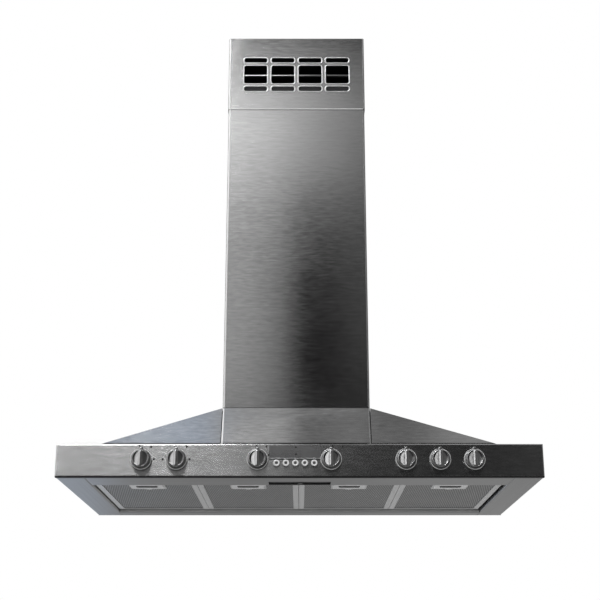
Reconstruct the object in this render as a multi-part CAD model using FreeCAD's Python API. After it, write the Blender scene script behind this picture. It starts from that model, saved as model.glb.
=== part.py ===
import FreeCAD, Part
import math
import os

# A range hood that hangs on a wall: a low body with a control fascia, four grease filters in its
# underside, a canopy, and a flue of two covers with a blower inside.
# X runs across the hood, Y towards the wall and Z up. The origin is the middle of the body's lower
# edge, on the wall plane.

V = FreeCAD.Vector
os.makedirs("parts", exist_ok=True)

# Overall sizes
hood_width = 900.0
hood_depth = 500.0
body_height = 62.0
canopy_top = 164.0
hood_height = 1000.0
sheet = 1.0
overrun = 5.0
seat_gap = 0.3
running_gap = 0.05

# Flue
flue_width = 294.0
flue_setback = 150.0
flue_offset = -7.0
sleeve_length = 174.0
flue_bend = 3.0
sleeve_lap = 64.0
sleeve_gap = 0.35

# Control fascia
fascia_sheet = 1.2
fascia_return = 12.0
fascia_bend = 3.0

# Underside
side_strip = 54.0
front_strip = 93.0
rear_strip = 46.0
panel_seam = 0.6
panel_bend = 1.5
field_lip = 12.0
top_flange = 15.0

# Canopy
canopy_setback = 112.0
canopy_riser = 24.0
panel_proud = 0.8
panel_return = 18.0
wing_flange = 14.0

# Controls, measured across the fascia from its middle and up from its lower edge
knob_reach = 322.0
knob_place_shares = [-0.907, -0.705, -0.242, 0.18, 0.609, 0.804, 1.0]
knob_height = 32.5
button_pitch = 17.4
button_count = 5
button_height = 25.5
button_row_middle = -8.0
window_width = 96.0
window_low = 33.5
window_height = 25.0
window_thickness = 3.0
window_recess = 0.4

# Grease filters
filter_count = 4
filter_side_gap = 4.0
filter_gap = 0.8
filter_low = 5.0
filter_thickness = 9.0
filter_row_offset = -2.0
filter_front_gap = 0.6
filter_hinge_inset = 4.0
filter_hinge_height = 10.0

# Blower
impeller_radius = 75.0
impeller_width = 120.0
blade_count = 24
duct_radius = 75.0

half_width = hood_width / 2
front = -hood_depth
flue_left = flue_offset - flue_width / 2
flue_right = flue_offset + flue_width / 2
flue_front = front + flue_setback
flue_seam = hood_height - sleeve_length
field_half = half_width - side_strip
filter_pitch = (field_half - filter_side_gap) * 2 / filter_count
knob_places = [knob_reach * share for share in knob_place_shares]
strip_rear = front + front_strip
canopy_foot = front + canopy_setback
box_front = front + fascia_return


def save(shape, node):
    shape.exportStep("parts/" + node + ".step")


def block(x_low, x_high, y_low, y_high, z_low, z_high):
    return Part.makeBox(x_high - x_low, y_high - y_low, z_high - z_low, V(x_low, y_low, z_low))


def rod(radius, start, end):
    return Part.makeCylinder(radius, (end - start).Length, start, end - start)


def tube(outer, inner, start, end):
    return rod(outer, start, end).cut(rod(inner, start, end))


def lift(plane, a, b, c):
    return {"yz": V(c, a, b), "xz": V(a, c, b), "xy": V(a, b, c)}[plane]


def extruded(plane, wire, low, high):
    return Part.Face(wire).extrude(lift(plane, 0, 0, high - low))


def prism(plane, points, low, high):
    corners = [lift(plane, a, b, low) for a, b in points]
    return extruded(plane, Part.makePolygon(corners + corners[:1]), low, high)


# Where two lines meet, each given by a point and a direction
def crossing(first, second):
    a, b, da, db = first
    c, d, dc, dd = second
    share = ((c - a) * dd - (d - b) * dc) / (da * dd - db * dc)
    return a + share * da, b + share * db


# The line through two points, moved to its left
def shifted_line(start, end, shift):
    da = end[0] - start[0]
    db = end[1] - start[1]
    length = math.hypot(da, db)
    return start[0] - db / length * shift, start[1] + da / length * shift, da, db


# A polygon that runs anticlockwise, with each of its sides moved inwards by its own distance
def inset(points, distances):
    following = points[1:] + points[:1]
    lines = [shifted_line(*item) for item in zip(points, following, distances)]
    return [crossing(lines[i - 1], lines[i]) for i in range(len(lines))]


# The edges of an open path whose corners are rounded by their own radii
def rounded_path(plane, points, radii, level):
    edges = []
    start = V(*points[0], 0)
    for i in range(1, len(points)):
        corner = V(*points[i], 0)
        if i == len(points) - 1:
            edges.append(Part.LineSegment(lift(plane, *start[:2], level), lift(plane, *corner[:2], level)))
            break
        towards = (corner - V(*points[i - 1], 0)).normalize()
        away = (V(*points[i + 1], 0) - corner).normalize()
        half_turn = towards.getAngle(away) / 2
        reach = radii[i] * math.tan(half_turn)
        bulge = radii[i] * (1 / math.cos(half_turn) - 1)
        enter = corner - towards * reach
        middle = corner + (away - towards).normalize() * bulge
        leave = corner + away * reach
        edges.append(Part.LineSegment(lift(plane, *start[:2], level), lift(plane, *enter[:2], level)))
        arc = [lift(plane, *point[:2], level) for point in (enter, middle, leave)]
        edges.append(Part.Arc(*arc))
        start = leave
    return [edge.toShape() for edge in edges]


# A sheet folded along a path. It lies to the left of the path, or to the right if its thickness is
# negative, and bend is the inner radius of each fold.
def folded(plane, path, thickness, bend, low, high):
    count = len(path)
    lines = [shifted_line(path[i], path[i + 1], thickness) for i in range(count - 1)]
    turns = [0] * count
    for i in range(1, count - 1):
        turns[i] = lines[i - 1][2] * lines[i][3] - lines[i - 1][3] * lines[i][2]
    far = [lines[0][:2]]
    far += [crossing(lines[i - 1], lines[i]) for i in range(1, count - 1)]
    last = lines[-1]
    far.append((last[0] + last[2], last[1] + last[3]))
    near_radii = [bend + (abs(thickness) if turn * thickness > 0 else 0) for turn in turns]
    far_radii = [bend + (0 if turn * thickness > 0 else abs(thickness)) for turn in turns]
    edges = rounded_path(plane, path, near_radii, low)
    edges += rounded_path(plane, far, far_radii, low)
    for i in (0, -1):
        ends = lift(plane, *path[i], low), lift(plane, *far[i], low)
        edges.append(Part.LineSegment(*ends).toShape())
    return extruded(plane, Part.Wire(Part.__sortEdges__(edges)), low, high)


# A bar of rounded rectangular section
def rounded_bar(plane, a_low, a_high, b_low, b_high, radius, low, high):
    a_middle = (a_low + a_high) / 2
    corners = [(a_low, b_low), (a_high, b_low), (a_high, b_high), (a_low, b_high)]
    path = [(a_middle, b_low)] + corners[1:] + corners[:1] + [(a_middle, b_low)]
    edges = rounded_path(plane, path, [radius] * len(path), low)
    edges = [edge for edge in edges if edge.Length > running_gap]
    return extruded(plane, Part.Wire(Part.__sortEdges__(edges)), low, high)


# The corners of a hexagon, from its middle and the width across its flats
def hexagon(a, b, flats):
    corner = flats / math.sqrt(3)
    angles = [math.radians(60 * i) for i in range(6)]
    return [(a + corner * math.cos(angle), b + corner * math.sin(angle)) for angle in angles]


def mirrored(shape):
    return shape.mirror(V(0, 0, 0), V(1, 0, 0))


# The flat of a D-shaped shaft is this share of its radius from the middle.
d_flat_share = 0.7


def d_shaft(radius, start, end):
    flat = radius * d_flat_share
    shaft = rod(radius, start, end)
    return shaft.cut(block(start.x - radius, start.x + radius, start.y, end.y, start.z + flat,
                           start.z + radius))


# Rotary controls: the switch behind the fascia, its square neck and nut, and the knob on its spindle
spindle_radius = 3.0
neck_width = 10.0
neck_reach = 4.0
nut_flats = 14.0
nut_height = 2.5
switch_width = 28.0
switch_depth = 20.0
switch_clearance = 0.2
knob_skirt_radius = 19.6
knob_skirt = 4.0
knob_body_radius = 16.0
knob_length = 17.5
knob_standoff = 0.6
knob_cavity_width = 17.0
knob_cavity = 6.0
knob_socket = 8.0
grip_width = 8.4
grip_height = 6.0
grip_draft = 1.2
pointer_reach = 22.6
pointer_width = 8.4
pointer_tip_share = 0.6
pointer_height = 8.0


def knob(place):
    back = front - knob_standoff
    axis_point = V(place, back, knob_height)
    skirt = rod(knob_skirt_radius, axis_point - V(0, knob_skirt, 0), axis_point)
    body = rod(knob_body_radius, axis_point - V(0, knob_length, 0), axis_point).fuse(skirt)
    root = pointer_width / 2
    tip = root * pointer_tip_share
    pointer = [(place - root, knob_height), (place + root, knob_height),
               (place + tip, knob_height + pointer_reach), (place - tip, knob_height + pointer_reach)]
    body = body.fuse(prism("xz", pointer, back - pointer_height, back))
    face = back - knob_length
    for side in (-1, 1):
        crest = place + side * (grip_width / 2 - grip_draft)
        foot = place + side * grip_width / 2
        beyond = place + side * knob_skirt_radius
        flank = [(crest, face), (foot, face + grip_height), (beyond, face + grip_height),
                 (beyond, face - overrun), (crest, face - overrun)]
        body = body.cut(prism("xy", flank, knob_height - knob_skirt_radius, knob_height + pointer_reach))
    body = body.cut(square_rod(knob_cavity_width, axis_point - V(0, knob_cavity, 0), axis_point))
    socket_end = axis_point - V(0, knob_cavity + knob_socket, 0)
    socket = d_shaft(spindle_radius + running_gap, socket_end, axis_point)
    spindle_end = V(place, front + fascia_sheet + switch_depth / 2, knob_height)
    shaft = d_shaft(spindle_radius, socket_end + V(0, seat_gap, 0), spindle_end)
    return Part.makeCompound([body.cut(socket).removeSplitter(), shaft])


# A square bar that runs along Y
def square_rod(width, start, end):
    half = width / 2
    return block(start.x - half, start.x + half, start.y, end.y, start.z - half, start.z + half)


def rotary_switch(place):
    inner = front + fascia_sheet
    middle = V(place, 0, knob_height)
    body = square_rod(switch_width, middle + V(0, inner, 0), middle + V(0, inner + switch_depth, 0))
    neck_start = middle + V(0, front - neck_reach, 0)
    neck = square_rod(neck_width, neck_start, middle + V(0, inner, 0))
    nut = prism("xz", hexagon(place, knob_height, nut_flats), front - nut_height, front)
    bore = rod(spindle_radius + running_gap, neck_start,
               middle + V(0, inner + switch_depth / 2 + seat_gap, 0))
    return body.fuse([neck, nut]).cut(bore).removeSplitter()


# Push buttons and the clock behind them
button_radius = 5.6
button_rise = 4.2
button_dimple = 0.8
button_dimple_radius = 3.2
button_travel = 2.0
button_flange = 1.0
button_flange_width = 13.2
button_stem_width = 4.6
button_clearance = 0.3
clock_half_width = 51.0
clock_low = 13.0
clock_depth = 30.0
clock_frame = 2.5
clock_post = 2.5


def button_place(index):
    return button_row_middle + (index - (button_count - 1) / 2) * button_pitch


clock_front = front + fascia_sheet + seat_gap + button_flange + button_travel


def button(index):
    axis = V(button_place(index), 0, button_height)
    inner = axis + V(0, front + fascia_sheet + seat_gap, 0)
    crown = axis + V(0, front - button_rise, 0)
    cap = rod(button_radius, crown, inner)
    dimple = rod(button_dimple_radius, crown, crown + V(0, button_dimple, 0))
    flange = square_rod(button_flange_width, inner, inner + V(0, button_flange, 0))
    stem = square_rod(button_stem_width, inner, axis + V(0, clock_front + button_travel, 0))
    return cap.cut(dimple).fuse([flange, stem]).removeSplitter()


def crown_edges(shape, level):
    return [i for i, edge in enumerate(shape.Edges)
            if all(abs(v.Y - level) < running_gap for v in edge.Vertexes)]


def display_window():
    low = button_row_middle - window_width / 2
    face = front + window_recess
    return rounded_bar("xz", low, low + window_width, window_low, window_low + window_height,
                       window_recess, face, face + window_thickness)


def clock_module():
    left = button_row_middle - clock_half_width
    right = button_row_middle + clock_half_width
    top = window_low + window_height
    inner = front + fascia_sheet
    body = block(left, right, clock_front, clock_front + clock_depth, clock_low, top)
    window_back = front + window_recess + window_thickness
    window_left = button_row_middle - window_width / 2
    frame = block(window_left, window_left + window_width, window_back, clock_front, window_low, top)
    frame = frame.cut(block(window_left + clock_frame, window_left + window_width - clock_frame,
                            window_back, clock_front, window_low + clock_frame, top - clock_frame))
    posts = [block(edge, edge + side * clock_post, inner, clock_front, clock_low, top)
             if side > 0 else block(edge - clock_post, edge, inner, clock_front, clock_low, top)
             for edge, side in ((left, 1), (right, -1))]
    body = body.fuse([frame] + posts).removeSplitter()
    for index in range(button_count):
        axis = V(button_place(index), clock_front, button_height)
        depth = V(0, 2 * button_travel + seat_gap, 0)
        body = body.cut(square_rod(button_stem_width + 2 * running_gap, axis, axis + depth))
    return body


# The fascia is a shallow tray that opens to the back.
def control_fascia():
    outer = block(-half_width, half_width, front, box_front, 0, body_height)
    front_edges = [outer.Edges[i] for i in crown_edges(outer, front)]
    outer = outer.makeFillet(fascia_bend, front_edges)
    inner = block(-half_width + fascia_sheet, half_width - fascia_sheet, front + fascia_sheet,
                  box_front + overrun, fascia_sheet, body_height - fascia_sheet)
    inner_edges = [inner.Edges[i] for i in crown_edges(inner, front + fascia_sheet)]
    inner = inner.makeFillet(fascia_bend - fascia_sheet, inner_edges)
    tray = outer.cut(inner)
    for place in knob_places:
        axis = V(place, front - overrun, knob_height)
        tray = tray.cut(square_rod(neck_width + 2 * switch_clearance, axis, axis + V(0, 2 * overrun, 0)))
    for index in range(button_count):
        axis = V(button_place(index), front - overrun, button_height)
        tray = tray.cut(rod(button_radius + button_clearance, axis, axis + V(0, 2 * overrun, 0)))
    left = button_row_middle - window_width / 2 - running_gap
    return tray.cut(rounded_bar("xz", left, left + window_width + 2 * running_gap,
                                window_low - running_gap, window_low + window_height + running_gap,
                                window_recess, front - overrun, front + overrun))


# Lamp in the front strip, under a cover that hinges at its front edge
lamp_half_width = 58.5
lamp_setback = 53.0
lamp_front = front + lamp_setback
lamp_rear = strip_rear - 4.5
lamp_wall = 1.5
lamp_height = 24.0
lamp_flange = 6.0
cover_thickness = 2.0
cover_level = 3.0
cover_clearance = 1.0
cover_rear_gap = 2.6
cover_pin_radius = 1.0
cover_hinge_inset = 2.0
cover_tab = 6.0
led_width = 100.0
led_height = 8.0


def control_box_pan():
    rear_wall = [(box_front, 0), (strip_rear, 0), (strip_rear, body_height - sheet)]
    pan = folded("yz", rear_wall, sheet, panel_bend, -field_half + panel_seam, field_half - panel_seam)
    for side in (-1, 1):
        ends = sorted((side * (field_half - panel_seam), side * (half_width - sheet - panel_bend)))
        pan = pan.fuse(block(*ends, strip_rear - sheet, strip_rear, sheet, body_height - sheet))
    return pan.cut(block(-lamp_half_width, lamp_half_width, lamp_front, lamp_rear, -overrun,
                         overrun)).removeSplitter()


def lamp_housing():
    outer_half = lamp_half_width + lamp_wall
    walls = block(-outer_half, outer_half, lamp_front - lamp_wall, lamp_rear + lamp_wall, sheet,
                  lamp_height)
    hollow = block(-lamp_half_width, lamp_half_width, lamp_front, lamp_rear, sheet,
                   lamp_height - lamp_wall)
    rim = block(-outer_half - lamp_flange, outer_half + lamp_flange, lamp_front - lamp_wall,
                lamp_rear + lamp_wall, sheet, sheet + lamp_wall)
    pins = rod(cover_pin_radius + running_gap, cover_hinge(-outer_half - overrun),
               cover_hinge(outer_half + overrun))
    return walls.fuse(rim).removeSplitter().cut([hollow, pins])


def cover_hinge(x):
    return V(x, lamp_front + cover_hinge_inset, cover_level + cover_thickness / 2)


def lamp_cover():
    half = lamp_half_width - cover_clearance
    rear = lamp_rear - cover_rear_gap
    hinge = cover_hinge(0)
    plate = block(-half, half, hinge.y, rear, cover_level, cover_level + cover_thickness)
    roll = rod(cover_thickness / 2, cover_hinge(-half), cover_hinge(half))
    pins = rod(cover_pin_radius, cover_hinge(-lamp_half_width - lamp_wall),
               cover_hinge(lamp_half_width + lamp_wall))
    tab = block(-cover_tab / 2, cover_tab / 2, rear - cover_thickness, lamp_rear - seat_gap, seat_gap,
                cover_level)
    return plate.fuse([roll, pins, tab]).removeSplitter()


def lamp_module():
    middle = (lamp_front + lamp_rear) / 2
    depth = (lamp_rear - lamp_front) / 2
    top = lamp_height - lamp_wall
    return rounded_bar("xy", -led_width / 2, led_width / 2, middle - depth / 2, middle + depth / 2,
                       depth / 4, top - led_height, top)


# Body: lid of the control box, side panels, rear rail and back
lid_lap = 16.0
back_flange = 20.0
fixing_spacing = 400.0
fixing_high = 95.0
fixing_low = 30.0
fixing_radius = 4.0


def control_box_lid():
    lip = 2 * body_height / 10
    path = [(box_front, body_height), (canopy_foot + lid_lap, body_height),
            (canopy_foot + lid_lap, body_height - lip)]
    return folded("yz", path, -sheet, panel_bend, -half_width + sheet, half_width - sheet)


def side_panel():
    wall = [(field_half, field_lip), (field_half, 0), (half_width, 0), (half_width, body_height),
            (half_width - top_flange, body_height)]
    panel = folded("xz", wall, sheet, panel_bend, box_front, -sheet)
    lip_front = block(field_half - overrun, field_half + sheet + overrun, box_front - overrun,
                      strip_rear, sheet, field_lip + overrun)
    flange_front = block(half_width - top_flange - overrun, half_width - sheet, box_front - overrun,
                         canopy_foot + lid_lap + panel_seam, body_height - sheet - panel_bend, body_height)
    behind_rail = block(field_half - overrun, field_half + sheet + overrun, -rear_strip - sheet, 0,
                        sheet, field_lip + overrun)
    return panel.cut([lip_front, flange_front, behind_rail]).removeSplitter()


# A filter's rear edge hangs by two rolled tabs on the ledge of the rear rail.
tab_roll_radius = 2.0
tab_sheet = 1.2
tab_width = 30.0
tab_spacing = 120.0
tab_length = 8.0
ledge_lap = 0.5
hinge_y = -rear_strip - filter_hinge_inset


def rear_rail():
    ledge = filter_hinge_height - tab_roll_radius - seat_gap - sheet
    path = [(-sheet, back_flange), (-sheet, 0), (-rear_strip, 0), (-rear_strip, ledge),
            (hinge_y - ledge_lap, ledge)]
    half = field_half - panel_seam
    return folded("yz", path, -sheet, sheet / 2, -half, half)


def back_panel():
    outline = [(-half_width, 0), (half_width, 0), (half_width, body_height),
               (flue_right, canopy_top), (flue_left, canopy_top), (-half_width, body_height)]
    panel = prism("xz", outline, -sheet, 0)
    return panel.cut(fixing_holes(fixing_high) + fixing_holes(fixing_low))


def fixing_holes(level):
    places = [V(side * fixing_spacing / 2, 0, level) for side in (-1, 1)]
    reach = V(0, 2 * overrun, 0)
    return [rod(fixing_radius, place - reach, place + reach) for place in places]


bracket_sheet = 3.0
bracket_width = 60.0
bracket_height = 56.0
bracket_shelf = 28.0


def hanging_brackets():
    solids = []
    for side in (-1, 1):
        middle = side * fixing_spacing / 2
        low = fixing_high - bracket_height / 2
        high = low + bracket_height
        path = [(-sheet, low), (-sheet, high), (-sheet - bracket_shelf, high)]
        plate = folded("yz", path, bracket_sheet, bracket_sheet, middle - bracket_width / 2,
                       middle + bracket_width / 2)
        solids.append(plate.cut(fixing_holes(fixing_high)))
    return Part.makeCompound(solids)


# Canopy: the space common to a front profile and a side profile
canopy_side = [(0, body_height), (0, canopy_top), (flue_front, canopy_top),
               (canopy_foot, body_height + canopy_riser), (canopy_foot, body_height)]
canopy_front = [(-half_width, body_height), (half_width, body_height), (flue_right, canopy_top),
                (flue_left, canopy_top)]


def canopy_solid(wall):
    side = inset(canopy_side, [-overrun if wall else 0, -overrun if wall else 0, wall, wall,
                               -overrun if wall else 0])
    across = inset(canopy_front, [-overrun if wall else 0, wall, -overrun if wall else 0, wall])
    reach = half_width + overrun
    depth = hood_depth + overrun
    return prism("yz", side, -reach, reach).common(prism("xz", across, -depth, overrun))


def canopy_wing(x_low, x_high, flange_low):
    whole = canopy_solid(0)
    flange_slab = block(flange_low, flange_low + sheet, -hood_depth, 0, 0, hood_height)
    flange = whole.common(flange_slab).cut(canopy_solid(wing_flange))
    shell = whole.cut(canopy_solid(sheet))
    space = block(x_low, x_high, -hood_depth, -sheet, 0, hood_height)
    return shell.fuse(flange).common(space).removeSplitter()


def canopy_centre():
    outline = inset(canopy_side, [0, 0, -panel_proud, -panel_proud, 0])
    body = prism("yz", outline, flue_left, flue_right)
    body = body.makeFillet(flue_bend, front_bends(body))
    inner = prism("yz", inset(outline, [-overrun, sheet, sheet, sheet, -overrun]),
                  flue_left + sheet, flue_right - sheet)
    inner = inner.makeFillet(flue_bend - sheet, front_bends(inner))
    behind = prism("yz", inset(outline, [-overrun, -overrun, panel_return, panel_return, -overrun]),
                   flue_left - overrun, flue_right + overrun)
    return body.cut([inner, behind]).removeSplitter()


# The edges at both ends of the riser and of the slope above it
def front_bends(body):
    x_low = body.BoundBox.XMin
    x_high = body.BoundBox.XMax
    chosen = []
    for edge in body.Edges:
        at_end = all(min(abs(v.X - x_low), abs(v.X - x_high)) < running_gap for v in edge.Vertexes)
        in_front = all(v.Y < flue_front + flue_bend for v in edge.Vertexes)
        upright = abs(edge.Vertexes[0].Z - edge.Vertexes[-1].Z) > overrun
        if at_end and in_front and upright:
            chosen.append(edge)
    return chosen


deck_flange = 18.0
deck_margin = 22.0
deck_front = flue_front + panel_return + 2 * panel_seam


# The deck closes the canopy's top round the air opening and carries the blower.
def blower_deck():
    top = canopy_top - sheet
    left = flue_left - panel_seam
    right = flue_right + panel_seam
    low = top - deck_flange
    path = [(left, low), (left, top), (right, top), (right, low)]
    deck = folded("xz", path, -sheet, panel_bend, deck_front, -sheet)
    opening = block(left + deck_margin, right - deck_margin, deck_front + deck_margin,
                    -deck_margin, top - 2 * sheet, top + overrun)
    return deck.cut(opening)


# Flue covers, both open to the wall
def flue_channel(gap, low, high):
    left = flue_left - gap
    right = flue_right + gap
    y_front = flue_front - gap
    path = [(left, 0), (left, y_front), (right, y_front), (right, 0)]
    return folded("xy", path, sheet, flue_bend - sheet + max(gap - sheet, 0), low, high)


def lower_chimney_cover():
    return flue_channel(0, canopy_top, flue_seam + sleeve_lap)


vent_columns = 4
vent_pitch = 59.5
vent_width = 51.5
vent_slot = 12.5
vent_square = 45.0
vent_row_gap = 6.2
vent_drop = 48.0
vent_corner = 5.0


def vent_cells():
    rows = [vent_slot, vent_square, vent_slot]
    cells = []
    for column in range(vent_columns):
        left = flue_offset + (column - (vent_columns - 1) / 2) * vent_pitch - vent_width / 2
        top = hood_height - vent_drop
        for height in rows:
            corner = min(vent_corner, height / 2)
            cells.append((left, left + vent_width, top - height, top, corner))
            top -= height + vent_row_gap
    return cells


def upper_chimney_sleeve():
    sleeve = flue_channel(sleeve_gap + sheet, flue_seam, hood_height)
    face = flue_front - sleeve_gap - sheet
    for left, right, low, high, corner in vent_cells():
        sleeve = sleeve.cut(rounded_bar("xz", left, right, low, high, corner, face - overrun,
                                        face + overrun))
    return sleeve.removeSplitter()


# Wall bracket of the upper sleeve, and the box that turns the air out through the vents
sleeve_bracket_drop = 70.0
sleeve_bracket_height = 60.0
sleeve_bracket_arm = 60.0
sleeve_bracket_sheet = 1.5
sleeve_fixing_spacing = 200.0
sleeve_fixing_drop = 23.0
sleeve_fixing_radius = 3.0
deflector_half_width = 125.0
deflector_drop = 38.0
deflector_height = 96.0
deflector_wall = 1.5
deflector_front_gap = 4.0
deflector_spigot = 16.0
deflector_rail = 4.0
deflector_rail_drop = 90.0
duct_wall = 0.6
duct_lap = 28.0
deflector_high = hood_height - deflector_drop
deflector_low = deflector_high - deflector_height


def sleeve_bracket():
    half = flue_width / 2 - sheet / 10
    left = flue_offset - half
    right = flue_offset + half
    low = hood_height - sleeve_bracket_drop
    high = low + sleeve_bracket_height
    path = [(left, -sleeve_bracket_arm), (left, 0), (right, 0), (right, -sleeve_bracket_arm)]
    strip = folded("xy", path, -sleeve_bracket_sheet, sleeve_bracket_sheet, low, high)
    arm_cut = block(left - overrun, right + overrun, -sleeve_bracket_arm - overrun,
                    -3 * sleeve_bracket_sheet, low - overrun, deflector_high + seat_gap)
    holes = []
    for side in (-1, 1):
        place = V(flue_offset + side * sleeve_fixing_spacing / 2, 0, hood_height - sleeve_fixing_drop)
        reach = V(0, overrun, 0)
        holes.append(rod(sleeve_fixing_radius, place - reach, place + reach))
    return strip.cut([arm_cut] + holes)


# Blower: impeller, motor and scroll on one axis along X, in the middle of its box
blower_z = 285.0
blade_inner_radius = 62.0
blade_sheet = 1.2
blade_sweep = 8.0
blade_bulge = 1.6
impeller_ring = 2.0
impeller_disc = 2.0
hub_radius = 12.0
hub_length = 24.0
shaft_radius = 4.0
motor_radius = 43.0
motor_sides = 8
motor_length = 58.0
motor_boss_radius = 16.0
motor_boss = 5.0
scroll_start_radius = 86.0
scroll_growth = 12.0
scroll_wall = 1.2
scroll_half_width = 65.0
scroll_neck_left = 5.0
scroll_neck_height = 140.0
scroll_flange = 12.0
inlet_radius = 66.0
inlet_lip = 4.0
arm_width = 14.0
arm_sheet = 2.0
arm_count = 3
box_side_gap = 7.0
box_foot = 12.0
box_back_gap = 8.0
box_front_y = deck_front + panel_seam

scroll_front = scroll_start_radius + scroll_growth / 2 + scroll_wall
scroll_rear = scroll_start_radius + 2.5 * scroll_growth + scroll_wall + scroll_flange
axis_y = (box_front_y - box_back_gap + scroll_front - scroll_rear) / 2
axis_z = blower_z


def on_axis(x):
    return V(flue_offset + x, axis_y, axis_z)


# A point of the blower by its radius and its angle about the axis
def polar(x, radius, degrees):
    angle = math.radians(degrees)
    return on_axis(x) + V(0, radius * math.cos(angle), radius * math.sin(angle))


def blade():
    start = (impeller_ring - impeller_width) / 2
    thickness = math.degrees(blade_sheet / impeller_radius)
    middle_radius = (blade_inner_radius + impeller_radius) / 2
    sides = []
    for turn in (0, thickness):
        points = [polar(start, blade_inner_radius, turn),
                  polar(start, middle_radius, turn + blade_sweep / 2 - blade_bulge),
                  polar(start, impeller_radius, turn + blade_sweep)]
        sides.append(points)
    near, far = sides
    edges = [Part.Arc(*near), Part.LineSegment(near[2], far[2]), Part.Arc(*far),
             Part.LineSegment(far[0], near[0])]
    wire = Part.Wire(Part.__sortEdges__([edge.toShape() for edge in edges]))
    return Part.Face(wire).extrude(V(impeller_width - impeller_ring, 0, 0))


def impeller():
    half = impeller_width / 2
    ring_outer = impeller_radius + impeller_ring / 2
    ring_inner = blade_inner_radius - impeller_ring / 2
    rings = [tube(ring_outer, ring_inner, on_axis(x), on_axis(x + impeller_ring))
             for x in (-half, half - impeller_ring)]
    disc = rod(blade_inner_radius + impeller_disc, on_axis(-impeller_disc / 2), on_axis(impeller_disc / 2))
    hub = rod(hub_radius, on_axis(-impeller_disc / 2), on_axis(hub_length))
    first = blade()
    blades = []
    for i in range(blade_count):
        copy = first.copy()
        copy.rotate(on_axis(0), V(1, 0, 0), 360 / blade_count * i)
        blades.append(copy)
    wheel = disc.fuse(rings + [hub] + blades)
    bore = rod(shaft_radius + running_gap / 2, on_axis(-overrun), on_axis(hub_length + overrun))
    return wheel.cut(bore).removeSplitter()


motor_face = -impeller_disc / 2 - motor_boss - seat_gap
motor_back = motor_face - motor_length


def motor_shaft():
    return rod(shaft_radius, on_axis(motor_back + seat_gap), on_axis(hub_length))


# The motor's stack of plates has eight sides, and its end shields slope in to a round boss.
def motor():
    turns = [math.radians(360 / motor_sides * (i + 1 / 2)) for i in range(motor_sides)]
    outline = [(axis_y + motor_radius * math.cos(turn), axis_z + motor_radius * math.sin(turn))
               for turn in turns]
    body = prism("yz", outline, flue_offset + motor_back, flue_offset + motor_face)
    rims = [edge for edge in body.Edges if edge.BoundBox.XLength < running_gap]
    body = body.makeChamfer(2 * motor_boss, rims)
    boss = rod(motor_boss_radius, on_axis(motor_face), on_axis(motor_face + motor_boss))
    bore = rod(shaft_radius + running_gap, on_axis(motor_back), on_axis(motor_face + motor_boss))
    return body.fuse(boss).cut(bore).removeSplitter()


# Arms from the rim of the scroll's inlet to the spacer behind the motor
def motor_arms():
    outside = -scroll_half_width - scroll_wall
    rim = tube(inlet_radius + arm_width, inlet_radius, on_axis(outside - arm_sheet), on_axis(outside))
    shapes = [rod(motor_boss_radius, on_axis(outside - arm_sheet), on_axis(motor_back))]
    for i in range(arm_count):
        arm = block(flue_offset + outside - arm_sheet, flue_offset + outside, axis_y - arm_width / 2,
                    axis_y + arm_width / 2, axis_z, axis_z + inlet_radius + arm_width / 2)
        arm.rotate(on_axis(0), V(1, 0, 0), 360 / arm_count * i)
        shapes.append(arm)
    return rim.fuse(shapes).removeSplitter()


# The scroll's profile: three quarter arcs whose radius grows by one step each, and a neck upwards.
# wall is added to each radius, so that the same profile makes the outside and the inside.
def scroll_profile(wall, x):
    step = scroll_growth
    top = scroll_neck_height
    arcs = [(-step / 2, -step / 2, scroll_start_radius, 90),
            (step / 2, -step / 2, scroll_start_radius + step, 180),
            (step / 2, step / 2, scroll_start_radius + 2 * step, 270)]
    edges = []
    ends = []
    for y, z, radius, start in arcs:
        points = []
        for degrees in (start, start + 45, start + 90):
            angle = math.radians(degrees)
            reach = radius + wall
            points.append(on_axis(x) + V(0, y + reach * math.cos(angle), z + reach * math.sin(angle)))
        edges.append(Part.Arc(*points).toShape())
        ends += [points[0], points[2]]
    neck = [on_axis(x) + V(0, scroll_neck_left - wall, scroll_start_radius - step / 2 + wall),
            on_axis(x) + V(0, scroll_neck_left - wall, top),
            on_axis(x) + V(0, scroll_start_radius + 2.5 * step + wall, top)]
    path = [ends[0]] + neck + [ends[-1]]
    edges += [Part.LineSegment(path[i], path[i + 1]).toShape() for i in range(len(path) - 1)]
    return Part.Wire(Part.__sortEdges__(edges))


def scroll_housing():
    wide = scroll_half_width + scroll_wall
    outer = Part.Face(scroll_profile(scroll_wall, -wide)).extrude(V(2 * wide, 0, 0))
    inner = Part.Face(scroll_profile(0, -scroll_half_width)).extrude(V(2 * scroll_half_width, 0, 0))
    right = scroll_start_radius + 2.5 * scroll_growth
    neck_top = axis_z + scroll_neck_height
    flange = block(flue_offset - wide - scroll_flange, flue_offset + wide + scroll_flange,
                   axis_y + scroll_neck_left - scroll_wall - scroll_flange,
                   axis_y + right + scroll_wall + scroll_flange, neck_top - scroll_wall, neck_top)
    throat = block(flue_offset - scroll_half_width, flue_offset + scroll_half_width,
                   axis_y + scroll_neck_left, axis_y + right, neck_top - overrun, neck_top + overrun)
    lips = [tube(inlet_radius + scroll_wall, inlet_radius, on_axis(x), on_axis(x + inlet_lip))
            for x in (-scroll_half_width, scroll_half_width - inlet_lip)]
    inlet = rod(inlet_radius, on_axis(-wide - overrun), on_axis(wide + overrun))
    shell = outer.fuse(flange).cut([inner, throat]).fuse(lips)
    return shell.cut([inlet] + screw_holes()).removeSplitter()


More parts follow.
